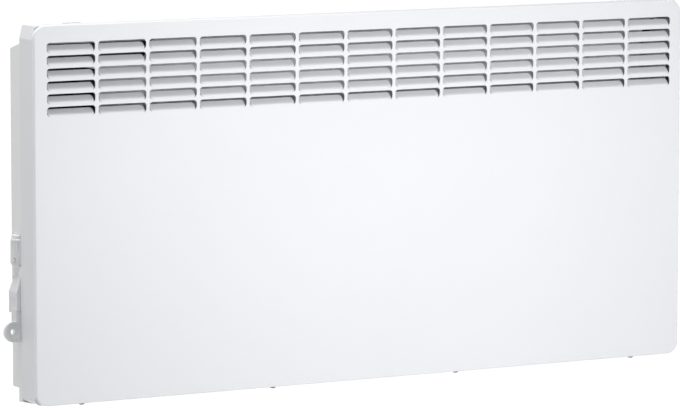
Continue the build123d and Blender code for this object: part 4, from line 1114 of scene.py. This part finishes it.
backScrew = {
    "head": 4.0 * mm,
    "rise": 2.2 * mm,
    # six-sided head: (share of its radius, share of its rise)
    "headRings": ((0.97, -1.0), (0.97, -0.12), (0.88, 0.0)),
    "shank": 2.0 * mm,
    "long": 7.0 * mm,
    "overlap": 0.4 * mm,      # shank's end inside the head
    "headSides": 6,
    "shankSides": 12,
    "apart": 9.0 * mm,        # points nearer than this belong to one head
}


def prismInto(build, rings, sides):
    # rings of (radius, depth) round the Y axis, closed at both ends
    turns = [2 * math.pi * k / sides for k in range(sides)]
    loops = []
    for r, y in rings:
        loops.append([build.verts.new((r * math.cos(t), y, r * math.sin(t))) for t in turns])
    for near, far in zip(loops, loops[1:]):
        for k in range(sides):
            n = (k + 1) % sides
            build.faces.new([far[k], far[n], near[n], near[k]])
    build.faces.new(loops[0])
    build.faces.new(loops[-1][::-1])


def headCentres(node, apart):
    # the middles of a node's screw heads, from the points on their outer faces
    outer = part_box(node)[1].y
    heads = {}
    for vert in nodes[node].data.vertices:
        if vert.co.y > outer - heater["near"]:
            x, z = vert.co.x, vert.co.z
            key = next((k for k in heads if math.hypot(k[0] - x, k[1] - z) < apart), (x, z))
            heads.setdefault(key, []).append((x, z))
    centres = []
    for points in heads.values():
        xs, zs = zip(*points)
        centres.append(((min(xs) + max(xs)) / 2, outer, (min(zs) + max(zs)) / 2))
    return centres


def makeBackScrews():
    head, rise = backScrew["head"], backScrew["rise"]
    build = bmesh.new()
    rings = [(head * across, rise * up) for across, up in backScrew["headRings"]]
    prismInto(build, rings, backScrew["headSides"])
    ends = (-rise - backScrew["long"], -rise + backScrew["overlap"])
    prismInto(build, [(backScrew["shank"], y) for y in ends], backScrew["shankSides"])
    bmesh.ops.recalc_face_normals(build, faces=build.faces)
    cell = newPiece("backScrewCell", build, "zincPlate")
    piece = pointMesh("backScrews", headCentres("back_screws", backScrew["apart"]))
    repeatAtPoints("back screws", piece, cell, "zincPlate")
    return settle(piece, cell)


backScrews = makeBackScrews()
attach(backScrews, "heater")
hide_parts("back_screws")

# ---- finishes of the CAD nodes that stay

nodeFinishes = {
    "wall_rail_upper": "zincPlate",
    "wall_rail_lower": "zincPlate",
    "thermostat_spindle": "plasticCream",
    "thermostat_body": "plasticCream",
    "thermostat_bracket": "zincPlate",
    "sensor_tube": "copperBulb",
    "sensor_clips": "plasticBlack",
    "lock_spring": "springSteel",
    "partition": "insulatingBoard",
    "heat_shield": "galvanisedSheet",
    "air_guide": "galvanisedSheet",
    "front_shield": "galvanisedSheet",
    "end_plate": "galvanisedSheet",
    "ceramic_bushes": "bushCeramic",
    "heating_rod": "rodSteel",
    "element_fins": "finAluminium",
    "overheat_cutout": "plasticBlack",
    "terminal_block": "plasticCream",
    "cord_gland": "plasticBlack",
    "live_wire": "wireBrown",
    "switched_wire": "wireBrown",
    "heater_wire": "wireBrown",
    "neutral_wire": "wireBlue",
}
for node, finish in nodeFinishes.items():
    carried = nodes[node]
    if not carried.material_slots:
        carried.data.materials.append(finishes[finish])
    for materialSlot in carried.material_slots:
        materialSlot.material = finishes[finish]
print("finishes given to", len(nodeFinishes), "nodes")
